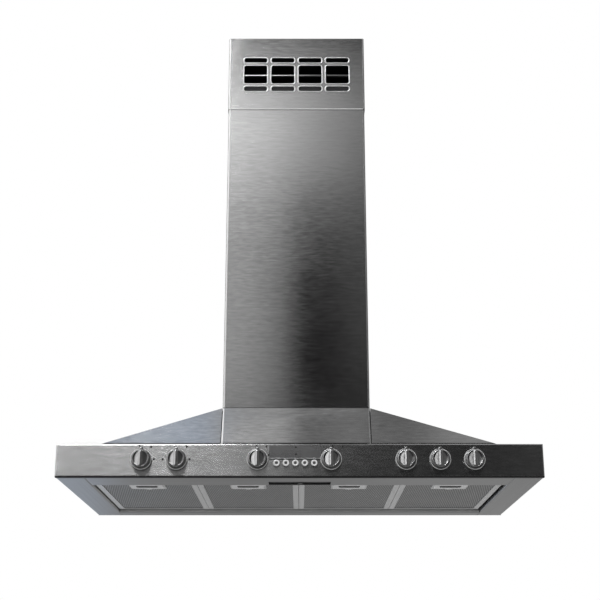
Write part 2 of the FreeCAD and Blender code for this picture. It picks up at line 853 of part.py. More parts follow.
# The blower's box stands on the deck and carries the collar, the scroll and the electric parts.
screw_radius = 2.0
screw_flats = 7.0
screw_head = 2.8
screw_length = 8.0
collar_fit = 0.3
collar_wall = 1.2
collar_height = 48.0
collar_margin = 6.0
collar_sheet = 1.2
box_top = blower_z + scroll_neck_height + sheet
collar_y = axis_y + (scroll_neck_left + scroll_start_radius + 2.5 * scroll_growth) / 2
collar_outer = duct_radius - collar_fit
collar_inner = collar_outer - collar_wall


def motor_box():
    left = flue_left + box_side_gap
    right = flue_right - box_side_gap
    y_front = box_front_y
    y_back = -box_back_gap
    low = canopy_top - sheet
    outer = block(left, right, y_front, y_back, low, box_top)
    upright = [edge for edge in outer.Edges if abs(edge.Vertexes[0].Z - edge.Vertexes[-1].Z) > overrun]
    outer = outer.makeFillet(flue_bend, upright)
    inner = block(left + sheet, right - sheet, y_front + sheet, y_back - sheet, low + sheet,
                  box_top - sheet)
    mouth = block(left + box_foot, right - box_foot, y_front + box_foot, y_back - box_foot,
                  low - overrun, low + overrun)
    hole = rod(collar_inner, collar_point(0, box_top - overrun), collar_point(0, box_top + overrun))
    return outer.cut([inner, mouth, hole] + screw_holes())


# Four screws hold the collar, the box's top and the flange of the scroll together.
def screw_places():
    across = scroll_half_width + scroll_wall + scroll_flange / 2
    y_low = axis_y + scroll_neck_left - scroll_wall - scroll_flange / 2
    y_high = axis_y + scroll_start_radius + 2.5 * scroll_growth + scroll_wall + scroll_flange / 2
    level = box_top + collar_sheet
    return [V(flue_offset + side * across, y, level) for side in (-1, 1) for y in (y_low, y_high)]


def screw_holes():
    reach = V(0, 0, overrun)
    return [rod(screw_radius + running_gap, place - reach, place + reach) for place in screw_places()]


def blower_screws():
    solids = []
    for place in screw_places():
        head = prism("xy", hexagon(place.x, place.y, screw_flats), place.z, place.z + screw_head)
        solids.append(head.fuse(rod(screw_radius, place - V(0, 0, screw_length), place)))
    return Part.makeCompound(solids)


# Collar with a back-draught damper: two half discs on one pin
damper_level_share = 0.45
damper_radius = 72.0
damper_sheet = 1.0
damper_pin_radius = 1.5
damper_knuckle_radius = 3.0
damper_knuckle = 34.0
damper_stop = 4.0
damper_edge = 4.5
damper_level = box_top + collar_sheet + collar_height * damper_level_share


def collar_point(y, z):
    return V(flue_offset, collar_y + y, z)


def outlet_collar():
    half = duct_radius + collar_margin
    top = box_top + collar_height
    flange = rounded_bar("xy", flue_offset - half, flue_offset + half, collar_y - half, collar_y + half,
                         collar_margin, box_top, box_top + collar_sheet)
    wall = rod(collar_outer, collar_point(0, box_top), collar_point(0, top))
    bore = rod(collar_inner, collar_point(0, box_top - overrun), collar_point(0, top + overrun))
    stop_top = damper_level - damper_sheet / 2 - seat_gap
    stops = []
    for i in range(4):
        stop = block(collar_inner - damper_stop, collar_inner + collar_wall / 2, -damper_stop / 2,
                     damper_stop / 2, stop_top - damper_stop / 2, stop_top)
        stop.rotate(V(0, 0, 0), V(0, 0, 1), 90 * (i + 1 / 2))
        stop.translate(collar_point(0, 0))
        stops.append(stop)
    pin = rod(damper_pin_radius + running_gap, collar_point(-duct_radius, damper_level),
              collar_point(duct_radius, damper_level))
    return flange.fuse(wall).cut(bore).fuse(stops).cut([pin] + screw_holes()).removeSplitter()


def damper_pin():
    return rod(damper_pin_radius, collar_point(-collar_outer, damper_level),
               collar_point(collar_outer, damper_level))


# Each flap has one knuckle on its own half of the pin.
def damper_flap(side, knuckle_start):
    disc = rod(damper_radius, collar_point(0, damper_level - damper_sheet / 2),
               collar_point(0, damper_level + damper_sheet / 2))
    ends = sorted((flue_offset + side * damper_edge, flue_offset + side * 2 * damper_radius))
    flap = disc.common(block(*ends, collar_y - damper_radius, collar_y + damper_radius, 0, hood_height))
    knuckle_end = knuckle_start + damper_knuckle
    knuckle = rod(damper_knuckle_radius, collar_point(knuckle_start, damper_level),
                  collar_point(knuckle_end, damper_level))
    ends = sorted((flue_offset, flue_offset + side * (damper_edge + damper_sheet)))
    web = block(*ends, collar_y + knuckle_start, collar_y + knuckle_end,
                damper_level - damper_sheet / 2, damper_level + damper_sheet / 2)
    bore = rod(damper_pin_radius + running_gap, collar_point(knuckle_start - overrun, damper_level),
               collar_point(knuckle_end + overrun, damper_level))
    return flap.fuse([knuckle, web]).cut(bore).removeSplitter()


def duct_pipe():
    low = box_top + collar_height - duct_lap
    high = deflector_low - seat_gap
    return tube(duct_radius + duct_wall, duct_radius, collar_point(0, low), collar_point(0, high))


def air_deflector():
    left = flue_offset - deflector_half_width
    right = flue_offset + deflector_half_width
    y_front = flue_front + deflector_front_gap
    wall = deflector_wall
    box = block(left, right, y_front, -sleeve_bracket_sheet, deflector_low, deflector_high)
    hollow = block(left + wall, right - wall, y_front - overrun, -sleeve_bracket_sheet - wall,
                   deflector_low + wall, deflector_high - wall)
    spigot = rod(collar_outer, collar_point(0, deflector_low - deflector_spigot),
                 collar_point(0, deflector_low))
    bore = rod(collar_inner, collar_point(0, deflector_low - overrun - deflector_spigot),
               collar_point(0, deflector_low + wall + overrun))
    rail_low = hood_height - deflector_rail_drop
    rail = block(left, right, y_front, y_front + 2 * deflector_rail, rail_low, rail_low + deflector_rail)
    return box.cut(hollow).fuse([spigot, rail]).cut(bore).removeSplitter()


# Electric parts on top of the blower's box
terminal_width = 96.0
terminal_depth = 62.0
terminal_height = 34.0
terminal_corner = 4.0
terminal_lid = 3.0
terminal_inset = 14.0
capacitor_radius = 15.0
capacitor_length = 62.0
capacitor_clip = 1.5


def terminal_box():
    y_low = box_front_y + terminal_inset
    x_low = flue_offset - terminal_width
    x_high = x_low + terminal_width
    y_high = y_low + terminal_depth
    top = box_top + terminal_height
    body = rounded_bar("xy", x_low, x_high, y_low, y_high, terminal_corner, box_top, top - terminal_lid)
    lid = rounded_bar("xy", x_low - seat_gap, x_high + seat_gap, y_low - seat_gap, y_high + seat_gap,
                      terminal_corner, top - terminal_lid, top)
    return body.fuse(lid).removeSplitter()


def capacitor():
    x_low = flue_offset + terminal_inset
    y_middle = box_front_y + terminal_inset + terminal_depth / 2
    start = V(x_low, y_middle, box_top + capacitor_radius)
    can = rod(capacitor_radius, start, start + V(capacitor_length, 0, 0))
    clip = block(x_low + capacitor_length / 2, x_low + capacitor_length / 2 + capacitor_radius,
                 y_middle - capacitor_radius - capacitor_clip, y_middle + capacitor_radius + capacitor_clip,
                 box_top, box_top + capacitor_radius / 2)
    return can.fuse(clip).removeSplitter()


# Grease filters: a frame of folded rails round a pad of mesh, with a sprung handle at the front
rail_width = 11.0
frame_sheet = 1.0
pad_gap = 0.3
tray_width = 69.0
tray_depth = 72.0
tray_wall = 1.5
mouth_half_width = 26.4
mouth_inset = 4.8
mouth_depth = 47.5
latch_travel = 6.0
handle_width = 62.0
handle_depth = 60.0
handle_sheet = 1.4
handle_inset = 2.4
handle_tab_radius = 7.0
finger_width = 41.0
finger_depth = 19.0
finger_inset = 11.0
finger_corner = 4.0
guide_sheet = 1.2
guide_foot = 3.0
tongue_width = 24.0
tongue_bar = 6.0

filter_front = strip_rear + filter_front_gap
filter_rear = hinge_y - tab_length
filter_high = filter_low + filter_thickness


def filter_middle(index):
    return filter_row_offset + (index - (filter_count - 1) / 2) * filter_pitch


def filter_box(middle, shrink, z_low, z_high):
    half = (filter_pitch - filter_gap) / 2 - shrink
    return block(middle - half, middle + half, filter_front + shrink, filter_rear - shrink, z_low, z_high)


def tray_block(middle, grow, z_low, z_high):
    half = tray_width / 2 + grow
    rear = filter_front + tray_depth + grow
    return block(middle - half, middle + half, filter_front, rear, z_low, z_high)


def filter_frame(index):
    middle = filter_middle(index)
    inner_low = filter_low + frame_sheet
    inner_high = filter_high - frame_sheet
    frame = filter_box(middle, 0, filter_low, filter_high)
    frame = frame.cut([filter_box(middle, frame_sheet, inner_low, inner_high),
                       filter_box(middle, rail_width, filter_low - overrun, filter_high + overrun)])
    tray = tray_block(middle, 0, filter_low, inner_high)
    tray_half = tray_width / 2 - tray_wall
    hollow = block(middle - tray_half, middle + tray_half, filter_front + frame_sheet,
                   filter_front + tray_depth - tray_wall, inner_low, inner_high - frame_sheet)
    mouth_front = filter_front + mouth_inset
    mouth = block(middle - mouth_half_width, middle + mouth_half_width, mouth_front,
                  mouth_front + mouth_depth, filter_low - overrun, inner_low + overrun / 10)
    tongue_half = tongue_width / 2 + seat_gap
    tongue_slot = block(middle - tongue_half, middle + tongue_half, filter_front - overrun,
                        filter_front + overrun, inner_low, inner_low + guide_sheet + 2 * seat_gap)
    frame = frame.fuse(tray).cut([hollow, mouth, tongue_slot])
    for side in (-1, 1):
        tab_middle = middle + side * tab_spacing / 2
        low = tab_middle - tab_width / 2
        roll = rod(tab_roll_radius, V(low, hinge_y, filter_hinge_height),
                   V(low + tab_width, hinge_y, filter_hinge_height))
        web = block(low, low + tab_width, filter_rear, hinge_y, filter_hinge_height - tab_sheet / 2,
                    filter_hinge_height + tab_sheet / 2)
        frame = frame.fuse([roll, web])
    return frame.removeSplitter()


def filter_mesh(index):
    middle = filter_middle(index)
    pad = filter_box(middle, frame_sheet + pad_gap, filter_low + frame_sheet, filter_high - frame_sheet)
    return pad.cut(tray_block(middle, pad_gap, filter_low, filter_high))


def filter_latch(index):
    middle = filter_middle(index)
    plate_high = filter_low - seat_gap
    plate_low = plate_high - handle_sheet
    y_front = filter_front + handle_inset
    y_back = y_front + handle_depth
    plate = block(middle - handle_width / 2, middle + handle_width / 2, y_front, y_back, plate_low,
                  plate_high)
    tab = rod(handle_tab_radius, V(middle, y_back, plate_low), V(middle, y_back, plate_high))
    finger_front = y_front + finger_inset
    finger = rounded_bar("xy", middle - finger_width / 2, middle + finger_width / 2, finger_front,
                         finger_front + finger_depth, finger_corner, plate_low - overrun,
                         plate_high + overrun)
    foot_low = filter_low + frame_sheet + seat_gap
    foot_high = foot_low + guide_sheet
    guide_front = filter_front + mouth_inset + seat_gap
    guide_back = guide_front + mouth_depth - latch_travel - 2 * seat_gap
    guides = []
    for side in (-1, 1):
        outer = mouth_half_width - seat_gap
        web = sorted((middle + side * outer, middle + side * (outer - guide_sheet)))
        foot = sorted((middle + side * (outer - guide_sheet), middle + side * (outer + guide_foot)))
        guides.append(block(*web, guide_front, guide_back, plate_high, foot_high))
        guides.append(block(*foot, guide_front, guide_back, foot_low, foot_high))
    bar = block(middle - mouth_half_width, middle + mouth_half_width, guide_front,
                guide_front + tongue_bar, foot_low, foot_high)
    tongue = block(middle - tongue_width / 2, middle + tongue_width / 2, filter_front - seat_gap,
                   guide_front + tongue_bar, foot_low, foot_high)
    return plate.fuse(tab).cut(finger).fuse(guides + [bar, tongue]).removeSplitter()


def main():
    save(control_fascia(), "control_fascia")
    for number, place in enumerate(knob_places, 1):
        save(knob(place), f"knob_{number}")
    save(Part.makeCompound([rotary_switch(place) for place in knob_places]), "rotary_switches")
    for index in range(button_count):
        save(button(index), f"button_{index + 1}")
    save(display_window(), "display_window")
    save(clock_module(), "clock_module")
    save(control_box_pan(), "control_box_pan")
    save(control_box_lid(), "control_box_lid")
    save(lamp_housing(), "lamp_housing")
    save(lamp_module(), "lamp_module")
    save(lamp_cover(), "lamp_cover")
    right_panel = side_panel()
    save(right_panel, "side_panel_right")
    save(mirrored(right_panel), "side_panel_left")
    save(rear_rail(), "rear_rail")
    save(back_panel(), "back_panel")
    save(hanging_brackets(), "hanging_brackets")
    left_edge = flue_left - panel_seam
    right_edge = flue_right + panel_seam
    save(canopy_wing(-half_width, left_edge, left_edge - sheet), "canopy_left")
    save(canopy_wing(right_edge, half_width, right_edge), "canopy_right")
    save(canopy_centre(), "canopy_centre")
    save(blower_deck(), "blower_deck")
    save(lower_chimney_cover(), "lower_chimney_cover")
    save(upper_chimney_sleeve(), "upper_chimney_sleeve")
    save(sleeve_bracket(), "sleeve_bracket")
    save(air_deflector(), "air_deflector")
    save(duct_pipe(), "duct_pipe")
    save(motor_box(), "motor_box")
    save(scroll_housing(), "scroll_housing")
    save(impeller(), "impeller")
    save(motor_shaft(), "motor_shaft")
    save(motor(), "motor")
    save(motor_arms(), "motor_arms")
    save(outlet_collar(), "outlet_collar")
    save(damper_pin(), "damper_pin")
    save(damper_flap(-1, -damper_knuckle - panel_seam / 2), "damper_flap_left")
    save(damper_flap(1, panel_seam / 2), "damper_flap_right")
    save(terminal_box(), "terminal_box")
    save(capacitor(), "capacitor")
    save(blower_screws(), "blower_screws")
    for index in range(filter_count):
        save(filter_frame(index), f"filter_frame_{index + 1}")
        save(filter_mesh(index), f"filter_mesh_{index + 1}")
        save(filter_latch(index), f"filter_latch_{index + 1}")


main()
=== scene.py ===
import math

import bpy
import numpy as np
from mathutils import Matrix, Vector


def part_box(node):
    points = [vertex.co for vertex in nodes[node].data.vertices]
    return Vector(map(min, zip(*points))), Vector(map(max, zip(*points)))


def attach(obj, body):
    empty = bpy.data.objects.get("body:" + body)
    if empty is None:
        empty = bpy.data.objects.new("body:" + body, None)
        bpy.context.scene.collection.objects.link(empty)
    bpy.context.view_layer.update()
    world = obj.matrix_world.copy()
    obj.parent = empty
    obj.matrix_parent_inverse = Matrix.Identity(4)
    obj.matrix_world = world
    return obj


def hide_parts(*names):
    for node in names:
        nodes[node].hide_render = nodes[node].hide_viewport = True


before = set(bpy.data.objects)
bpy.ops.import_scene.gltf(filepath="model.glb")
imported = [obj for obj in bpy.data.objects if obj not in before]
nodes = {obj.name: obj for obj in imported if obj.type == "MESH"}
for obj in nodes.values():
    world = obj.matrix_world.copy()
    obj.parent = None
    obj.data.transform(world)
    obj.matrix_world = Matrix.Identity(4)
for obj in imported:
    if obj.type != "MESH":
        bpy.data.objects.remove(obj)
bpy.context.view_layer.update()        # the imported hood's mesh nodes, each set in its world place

scene = bpy.context.scene
perMetre = 1000    # millimetres in a metre, because most sizes below are in millimetres
filterNumbers = range(1, 1 + sum(name.startswith("filter_frame") for name in nodes))
print("hood loaded:", len(nodes), "nodes")


# A socket of a shader tree. Sums and products written with it add the Math nodes, and node() adds any
# other kind: first its settings, then the values or links of its sockets.
class Wire:
    def __init__(self, tree, socket=None):
        self.tree = tree
        self.socket = socket

    def node(self, kind, settings=None, sockets=None, out=0):
        made = self.tree.nodes.new("ShaderNode" + kind)
        for name, value in (settings or {}).items():
            setattr(made, name, value)
        for name, value in (sockets or {}).items():
            if isinstance(value, Wire):
                self.tree.links.new(value.socket, made.inputs[name])
            else:
                made.inputs[name].default_value = value
        return Wire(self.tree, made.outputs[out]) if made.outputs else None

    def maths(self, operation, first, second=0.0):
        return self.node("Math", {"operation": operation}, {0: first, 1: second})

    def __add__(self, other):
        return self.maths("ADD", self, other)

    def __radd__(self, other):
        return self.maths("ADD", other, self)

    def __sub__(self, other):
        return self.maths("SUBTRACT", self, other)

    def __rsub__(self, other):
        return self.maths("SUBTRACT", other, self)

    def __mul__(self, other):
        return self.maths("MULTIPLY", self, other)

    def __rmul__(self, other):
        return self.maths("MULTIPLY", other, self)

    def clamped(self):
        return self.node("Clamp", {}, {"Value": self})


def newMaterial(name):
    material = bpy.data.materials.new(name)
    material.use_nodes = True
    material.node_tree.nodes.clear()
    return material, Wire(material.node_tree)


neutral = (1.0, 1.0, 1.0)
noiseMiddle = 0.5        # noise runs from nought to one about this


def rgb(grey, tint=neutral):
    return (grey * tint[0], grey * tint[1], grey * tint[2], 1)


# Places of the colour mix among the Mix node's sockets, which has a set of them for each type of data
mixSockets = dict(factor=0, first=6, second=7, mixed=2)


# A colour between two, by a factor
def blendColour(start, factor, first, second):
    sockets = {mixSockets["factor"]: factor, mixSockets["first"]: first, mixSockets["second"]: second}
    return start.node("Mix", {"data_type": "RGBA"}, sockets, out=mixSockets["mixed"])


# One coordinate of the surface, in metres
def coordinate(start, axis):
    return start.node("SeparateXYZ", {}, {"Vector": start.node("TexCoord", out="Object")}, out=axis)


# How far a value is past a place, times the sharpness, and kept between nought and one
def past(value, place, sharpness):
    return ((value - place) * sharpness).clamped()


# The same for a value that is short of a place
def shortOf(value, place, sharpness):
    return ((place - value) * sharpness).clamped()


# One scale for all three axes
def alike(scale):
    return (scale, scale, scale)


# Noise on object coordinates that are stretched by one scale for each axis
def noise(start, scales, detail=2.0, roughness=0.5):
    place = start.node("TexCoord", out="Object")
    mapped = start.node("Mapping", {}, {"Vector": place, "Scale": scales})
    sockets = {"Vector": mapped, "Scale": 1.0, "Detail": detail, "Roughness": roughness}
    return start.node("TexNoise", {}, sockets)


def finished(material, start, sockets):
    shade = start.node("BsdfPrincipled", {}, sockets)
    start.node("OutputMaterial", {}, {"Surface": shade})
    return material


def glowing(material, start, colour, strength):
    shade = start.node("Emission", {}, {"Color": colour, "Strength": strength})
    start.node("OutputMaterial", {}, {"Surface": shade})
    return material


# One where the surface lies under a level and behind a front line, and nought elsewhere
def returnedEdge(start, border):
    under = shortOf(coordinate(start, "Z"), border["level"], border["sharpness"])
    return under * past(coordinate(start, "Y"), border["front"], border["sharpness"])


steelBase = dict(
    dark=0.34, light=0.8, tint=neutral, metallic=1.0, roughness=0.12, bump=0.25, groove=0.00008,
    stretch=0.88, grainTurn=0.25, grooves=(9.0, 9.0, 900.0), grooveDetail=3.0, grooveRoughness=0.7,
    streaks=(55.0, 55.0, 270.0), streakDepth=0.35, cloud=(5.0, 5.0, 9.0), cloudDetail=3.0,
    grooveShare=0.3, streakShare=0.5, cloudShare=0.2, streakWear=0.06, cloudWear=0.08,
    returnShade=None, recessShade=None,
)


# Brushed steel: fine straight grooves along the grain, faint wide streaks and cloudy wear, whose shares
# make its tone. Painted shade turns a border black and duller, and darkens the metal above a recess's
# level.
def brushedSteel(name, own):
    settings = {**steelBase, **own}
    material, start = newMaterial(name)
    fine = noise(start, settings["grooves"], settings["grooveDetail"], settings["grooveRoughness"])
    streaks = noise(start, settings["streaks"])
    cloud = noise(start, settings["cloud"], settings["cloudDetail"])
    tone = settings["grooveShare"] * fine + settings["streakShare"] * streaks
    tone = tone + settings["cloudShare"] * cloud
    colour = blendColour(start, tone.clamped(), rgb(settings["dark"], settings["tint"]),
                         rgb(settings["light"], settings["tint"]))
    rough = settings["roughness"] + settings["streakWear"] * (streaks - noiseMiddle)
    rough = rough + settings["cloudWear"] * (cloud - noiseMiddle)
    metal = settings["metallic"]
    # Painted shade: the border turns black where the fascia's return and bend lie in shade
    if settings["returnShade"]:
        returnShade = returnedEdge(start, settings["returnShade"])
        colour = blendColour(start, returnShade, colour, rgb(settings["returnShade"]["grey"]))
        rough = rough + settings["returnShade"]["duller"] * returnShade
        metal = 1 - returnShade
    # Painted shade: above the recess level the metal turns dark
    if settings["recessShade"]:
        recessShade = settings["recessShade"]
        inside = past(coordinate(start, "Z"), recessShade["level"], recessShade["sharpness"])
        colour = blendColour(start, inside, colour, rgb(recessShade["grey"]))
    bump = start.node("Bump", {}, {"Strength": settings["bump"], "Distance": settings["groove"],
                                   "Height": fine + settings["streakDepth"] * streaks})
    return finished(material, start, {
        "Base Color": colour, "Metallic": metal, "Roughness": rough, "Normal": bump,
        "Anisotropic": settings["stretch"], "Anisotropic Rotation": settings["grainTurn"]})


# Painted shade along the fascia's bottom return and the lowest part of its bend, for the dark gap under it
fasciaReturnShade = dict(level=0.0017, front=-0.49995, sharpness=9000.0, grey=0.006, duller=0.3)
# Painted shade inside the filter handle's recess, above this level
filterRecessShade = dict(level=0.0085, sharpness=900.0, grey=0.03)
steelFlue = brushedSteel("steelFlue", {})
steelFascia = brushedSteel("steelFascia", dict(
    roughness=0.24, stretch=0.95, bump=0.006, returnShade=fasciaReturnShade))
steelCanopy = brushedSteel("steelCanopy", dict(roughness=0.11, stretch=0.6))
steelAcross = brushedSteel("steelAcross", dict(
    stretch=0.0, roughness=0.33, grooves=(8.0, 1300.0, 8.0), streaks=(2.0, 200.0, 2.0)))
steelAlong = brushedSteel("steelAlong", dict(
    stretch=0.0, roughness=0.33, grooves=(1300.0, 8.0, 1300.0), streaks=(200.0, 2.0, 200.0)))

# Aluminium: the filters' rails are brushed from front to back, and their handles from side to side.
railAluminium = brushedSteel("railAluminium", dict(
    dark=0.7, light=0.92, stretch=0.0, roughness=0.34, metallic=0.65, grooves=(900.0, 20.0, 900.0),
    streaks=(90.0, 6.0, 90.0), bump=0.3, recessShade=filterRecessShade))
handleAluminium = brushedSteel("handleAluminium", dict(
    dark=0.8, light=0.95, stretch=0.0, roughness=0.36, metallic=0.5, grooves=(20.0, 1200.0, 20.0),
    streaks=(6.0, 120.0, 6.0), bump=0.25))

zincLook = dict(
    grain=95.0, dark=0.36, light=0.56, tint=(0.98, 1.0, 1.02), streaks=(60.0, 60.0, 9.0), streakDetail=4.0,
    grainShare=0.6, streakShare=0.4, bump=0.2, depth=0.0002, metallic=0.85, roughness=0.38, grainWear=0.16,
)


# Galvanised sheet: grains of zinc, each with its own tone, and streaks down it
def galvanisedSheet(name, look):
    material, start = newMaterial(name)
    place = start.node("TexCoord", out="Object")
    grains = start.node("TexVoronoi", {}, {"Vector": place, "Scale": look["grain"]}, out="Color")
    tone = start.node("SeparateColor", {}, {"Color": grains})
    streaks = noise(start, look["streaks"], look["streakDetail"])
    mixed = (look["grainShare"] * tone + look["streakShare"] * streaks).clamped()
    colour = blendColour(start, mixed, rgb(look["dark"]), rgb(look["light"], look["tint"]))
    bump = start.node("Bump", {}, {"Strength": look["bump"], "Distance": look["depth"],
                                   "Height": tone + streaks})
    rough = look["roughness"] + look["grainWear"] * tone
    return finished(material, start, {
        "Base Color": colour, "Metallic": look["metallic"], "Roughness": rough, "Normal": bump})


zinc = galvanisedSheet("zinc", zincLook)

mouldedBase = dict(
    tint=neutral, metallic=0.0, coat=0.0, coatRoughness=0.12, grainDetail=3.0, grainRoughness=0.6,
    cloud=24.0, cloudDetail=3.0, grainShare=0.5, cloudShare=0.5, depth=0.0001, cloudWear=0.12,
)


# A moulded, painted or plated surface with a fine grain and faint clouds
def moulded(name, own):
    settings = {**mouldedBase, **own}
    material, start = newMaterial(name)
    grain = noise(start, alike(settings["grain"]), settings["grainDetail"], settings["grainRoughness"])
    cloud = noise(start, alike(settings["cloud"]), settings["cloudDetail"])
    tone = (settings["grainShare"] * grain + settings["cloudShare"] * cloud).clamped()
    colour = blendColour(start, tone, rgb(settings["dark"], settings["tint"]),
                         rgb(settings["light"], settings["tint"]))
    bump = start.node("Bump", {}, {"Strength": settings["bump"], "Distance": settings["depth"],
                                   "Height": grain})
    rough = settings["roughness"] + settings["cloudWear"] * (cloud - noiseMiddle)
    return finished(material, start, {
        "Base Color": colour, "Metallic": settings["metallic"], "Roughness": rough, "Normal": bump,
        "Coat Weight": settings["coat"], "Coat Roughness": settings["coatRoughness"]})


blackPlastic = moulded("blackPlastic", dict(
    dark=0.018, light=0.035, tint=(1.0, 1.0, 1.03), grain=900.0, bump=0.25, roughness=0.45))
whitePlastic = moulded("whitePlastic", dict(
    dark=0.66, light=0.74, tint=(1.0, 0.995, 0.97), grain=900.0, bump=0.15, roughness=0.42))
knobMetal = moulded("knobMetal", dict(
    dark=0.4, light=0.56, grain=300.0, bump=0.004, roughness=0.3, metallic=1.0))
buttonChrome = moulded("buttonChrome", dict(
    dark=0.26, light=0.36, grain=1400.0, bump=0.08, roughness=0.3, metallic=0.9))
# Steel lighter than the sleeve's, a painted highlight on the vents' rims
rimHighlightSteel = moulded("rimHighlightSteel", dict(
    dark=0.66, light=0.8, grain=700.0, bump=0.1, roughness=0.34, metallic=0.8))
brightRing = moulded("brightRing", dict(
    dark=0.78, light=0.88, grain=900.0, bump=0.05, roughness=0.24, metallic=1.0))
# White for painted highlights on edges, rims and rings
paintedHighlight = moulded("paintedHighlight", dict(
    dark=0.8, light=0.9, grain=900.0, bump=0.05, roughness=0.36, metallic=0.15))
# Dark for painted shade on edges
paintedEdgeShade = moulded("paintedEdgeShade", dict(
    dark=0.15, light=0.19, grain=900.0, bump=0.05, roughness=0.4, metallic=0.2))
# Near black for painted shade behind the sleeve's slots
slotShadeGrey = moulded("slotShadeGrey", dict(
    dark=0.01, light=0.028, tint=(1.0, 1.0, 1.02), grain=1500.0, bump=0.5, roughness=0.9))
smokedWindow = moulded("smokedWindow", dict(
    dark=0.36, light=0.42, tint=(1.0, 1.0, 1.01), grain=200.0, bump=0.004, roughness=0.27, metallic=0.9,
    coat=0.2))
lampLens = moulded("lampLens", dict(
    dark=0.035, light=0.06, tint=(1.0, 1.0, 1.02), grain=800.0, bump=0.2, roughness=0.3, coat=0.5))
# Black for print, and also for pieces of painted shade
inkAndShadeBlack = moulded("inkAndShadeBlack", dict(
    dark=0.008, light=0.014, grain=2000.0, bump=0.1, roughness=0.6))
plated = moulded("plated", dict(
    dark=0.42, light=0.56, tint=(1.0, 1.0, 0.99), grain=600.0, bump=0.2, roughness=0.34, metallic=0.9))
ductFoil = moulded("ductFoil", dict(
    dark=0.55, light=0.72, grain=160.0, bump=0.4, roughness=0.3, metallic=1.0))

meshLook = dict(
    ridge=0.0061, recessShade=0.0069, weave=(420.0, 200.0, 300.0), weaveDetail=3.0, weaveRoughness=0.6,
    cloud=(14.0, 10.0, 14.0), weaveShare=0.6, cloudShare=0.4, dark=0.5, light=0.85, recessShadeGrey=0.12,
    bump=0.3, depth=0.0003, metallic=0.95, roughness=0.34, weaveWear=0.2,
)


# Expanded aluminium mesh: light on its ridges, and dark in its recesses with painted shade
def meshAluminium(name, look):
    material, start = newMaterial(name)
    depth = past(coordinate(start, "Z"), look["ridge"], 1 / (look["recessShade"] - look["ridge"]))
    weave = noise(start, look["weave"], look["weaveDetail"], look["weaveRoughness"])
    cloud = noise(start, look["cloud"])
    tone = (look["weaveShare"] * weave + look["cloudShare"] * cloud).clamped()
    colour = blendColour(start, tone, rgb(look["dark"]), rgb(look["light"]))
    # Painted shade in the mesh's recesses
    colour = blendColour(start, depth, colour, rgb(look["recessShadeGrey"]))
    bump = start.node("Bump", {}, {"Strength": look["bump"], "Distance": look["depth"], "Height": weave})
    rough = look["roughness"] + look["weaveWear"] * weave
    return finished(material, start, {
        "Base Color": colour, "Metallic": look["metallic"], "Roughness": rough, "Normal": bump})


padMetal = meshAluminium("padMetal", meshLook)

barLook = dict(
    low=0.911, high=0.9129, back=-0.337, left=-0.07, right=0.03, sharpness=9000.0, cloud=30.0,
    cloudDetail=3.0, paintDark=0.008, paintLight=0.02, litBareLeft=0.75, shadedBareRight=0.12, metallic=0.9,
    roughness=0.5, polish=0.2,
)


# Black paint, and a bare metal line along the cross bar behind the vents. The line is painted lighter at
# the left and darker to the right, as painted light and shade.
def paintAndShadedBareLine(name, bar):
    material, start = newMaterial(name)
    level = coordinate(start, "Z")
    inside = past(level, bar["low"], bar["sharpness"]) * shortOf(level, bar["high"], bar["sharpness"])
    bare = inside * shortOf(coordinate(start, "Y"), bar["back"], bar["sharpness"])
    cloud = noise(start, alike(bar["cloud"]), bar["cloudDetail"])
    paint = blendColour(start, cloud, rgb(bar["paintDark"]), rgb(bar["paintLight"]))
    # Painted light and shade: the bare line fades from light at the left to dark at the right
    shadeToRight = past(coordinate(start, "X"), bar["left"], 1 / (bar["right"] - bar["left"]))
    metal = blendColour(start, shadeToRight, rgb(bar["litBareLeft"]), rgb(bar["shadedBareRight"]))
    return finished(material, start, {
        "Base Color": blendColour(start, bare, paint, metal), "Metallic": bar["metallic"] * bare,
        "Roughness": bar["roughness"] - bar["polish"] * bare})


blackSteel = paintAndShadedBareLine("blackSteel", barLook)

finishes = {
    "control_fascia": steelFascia, "display_window": smokedWindow, "canopy_centre": steelCanopy,
    "canopy_left": steelCanopy, "canopy_right": steelCanopy, "lower_chimney_cover": steelFlue,
    "upper_chimney_sleeve": steelFlue, "control_box_pan": steelAcross, "control_box_lid": steelAcross,
    "side_panel_left": steelAlong, "side_panel_right": steelAlong, "rear_rail": steelAcross,
    "lamp_cover": lampLens, "lamp_housing": blackPlastic, "lamp_module": whitePlastic,
    "air_deflector": blackSteel, "duct_pipe": ductFoil, "motor": plated, "motor_shaft": plated,
    "damper_pin": plated, "blower_screws": plated, "damper_flap_left": whitePlastic,
    "damper_flap_right": whitePlastic, "capacitor": whitePlastic,
}
families = {
    "knob": knobMetal, "button": buttonChrome, "filter_frame": railAluminium, "filter_mesh": padMetal,
    "filter_latch": handleAluminium, "rotary": blackPlastic, "clock": blackPlastic,
    "impeller": blackPlastic, "outlet_collar": blackPlastic, "terminal": blackPlastic,
}


# The other sheets and brackets are galvanised.
def finishFor(name):
    for family, material in families.items():
        if name.startswith(family):
            return material
    return finishes.get(name, zinc)


for name, piece in nodes.items():
    piece.data.materials.clear()
    piece.data.materials.append(finishFor(name))
print("finishes given to the hood's own nodes")

sharpAngle = 35        # degrees between two faces, past which their edge looks sharp


# Puts points and faces into a new mesh, without the points that no face uses. A face whose last two
# corners are the same is a triangle.
def meshPiece(name, points, faces, material, body):
    used, faces = np.unique(faces, return_inverse=True)
    corners = [face[:3] if face[2] == face[3] else face for face in faces.reshape(-1, 4).tolist()]
    mesh = bpy.data.meshes.new(name)
    mesh.from_pydata(points[used].tolist(), [], corners)
    mesh.materials.append(material)
    mesh.shade_smooth()
    mesh.set_sharp_from_angle(angle=math.radians(sharpAngle))
    mesh.update()
    piece = bpy.data.objects.new(name, mesh)
    scene.collection.objects.link(piece)
    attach(piece, body)
    return piece


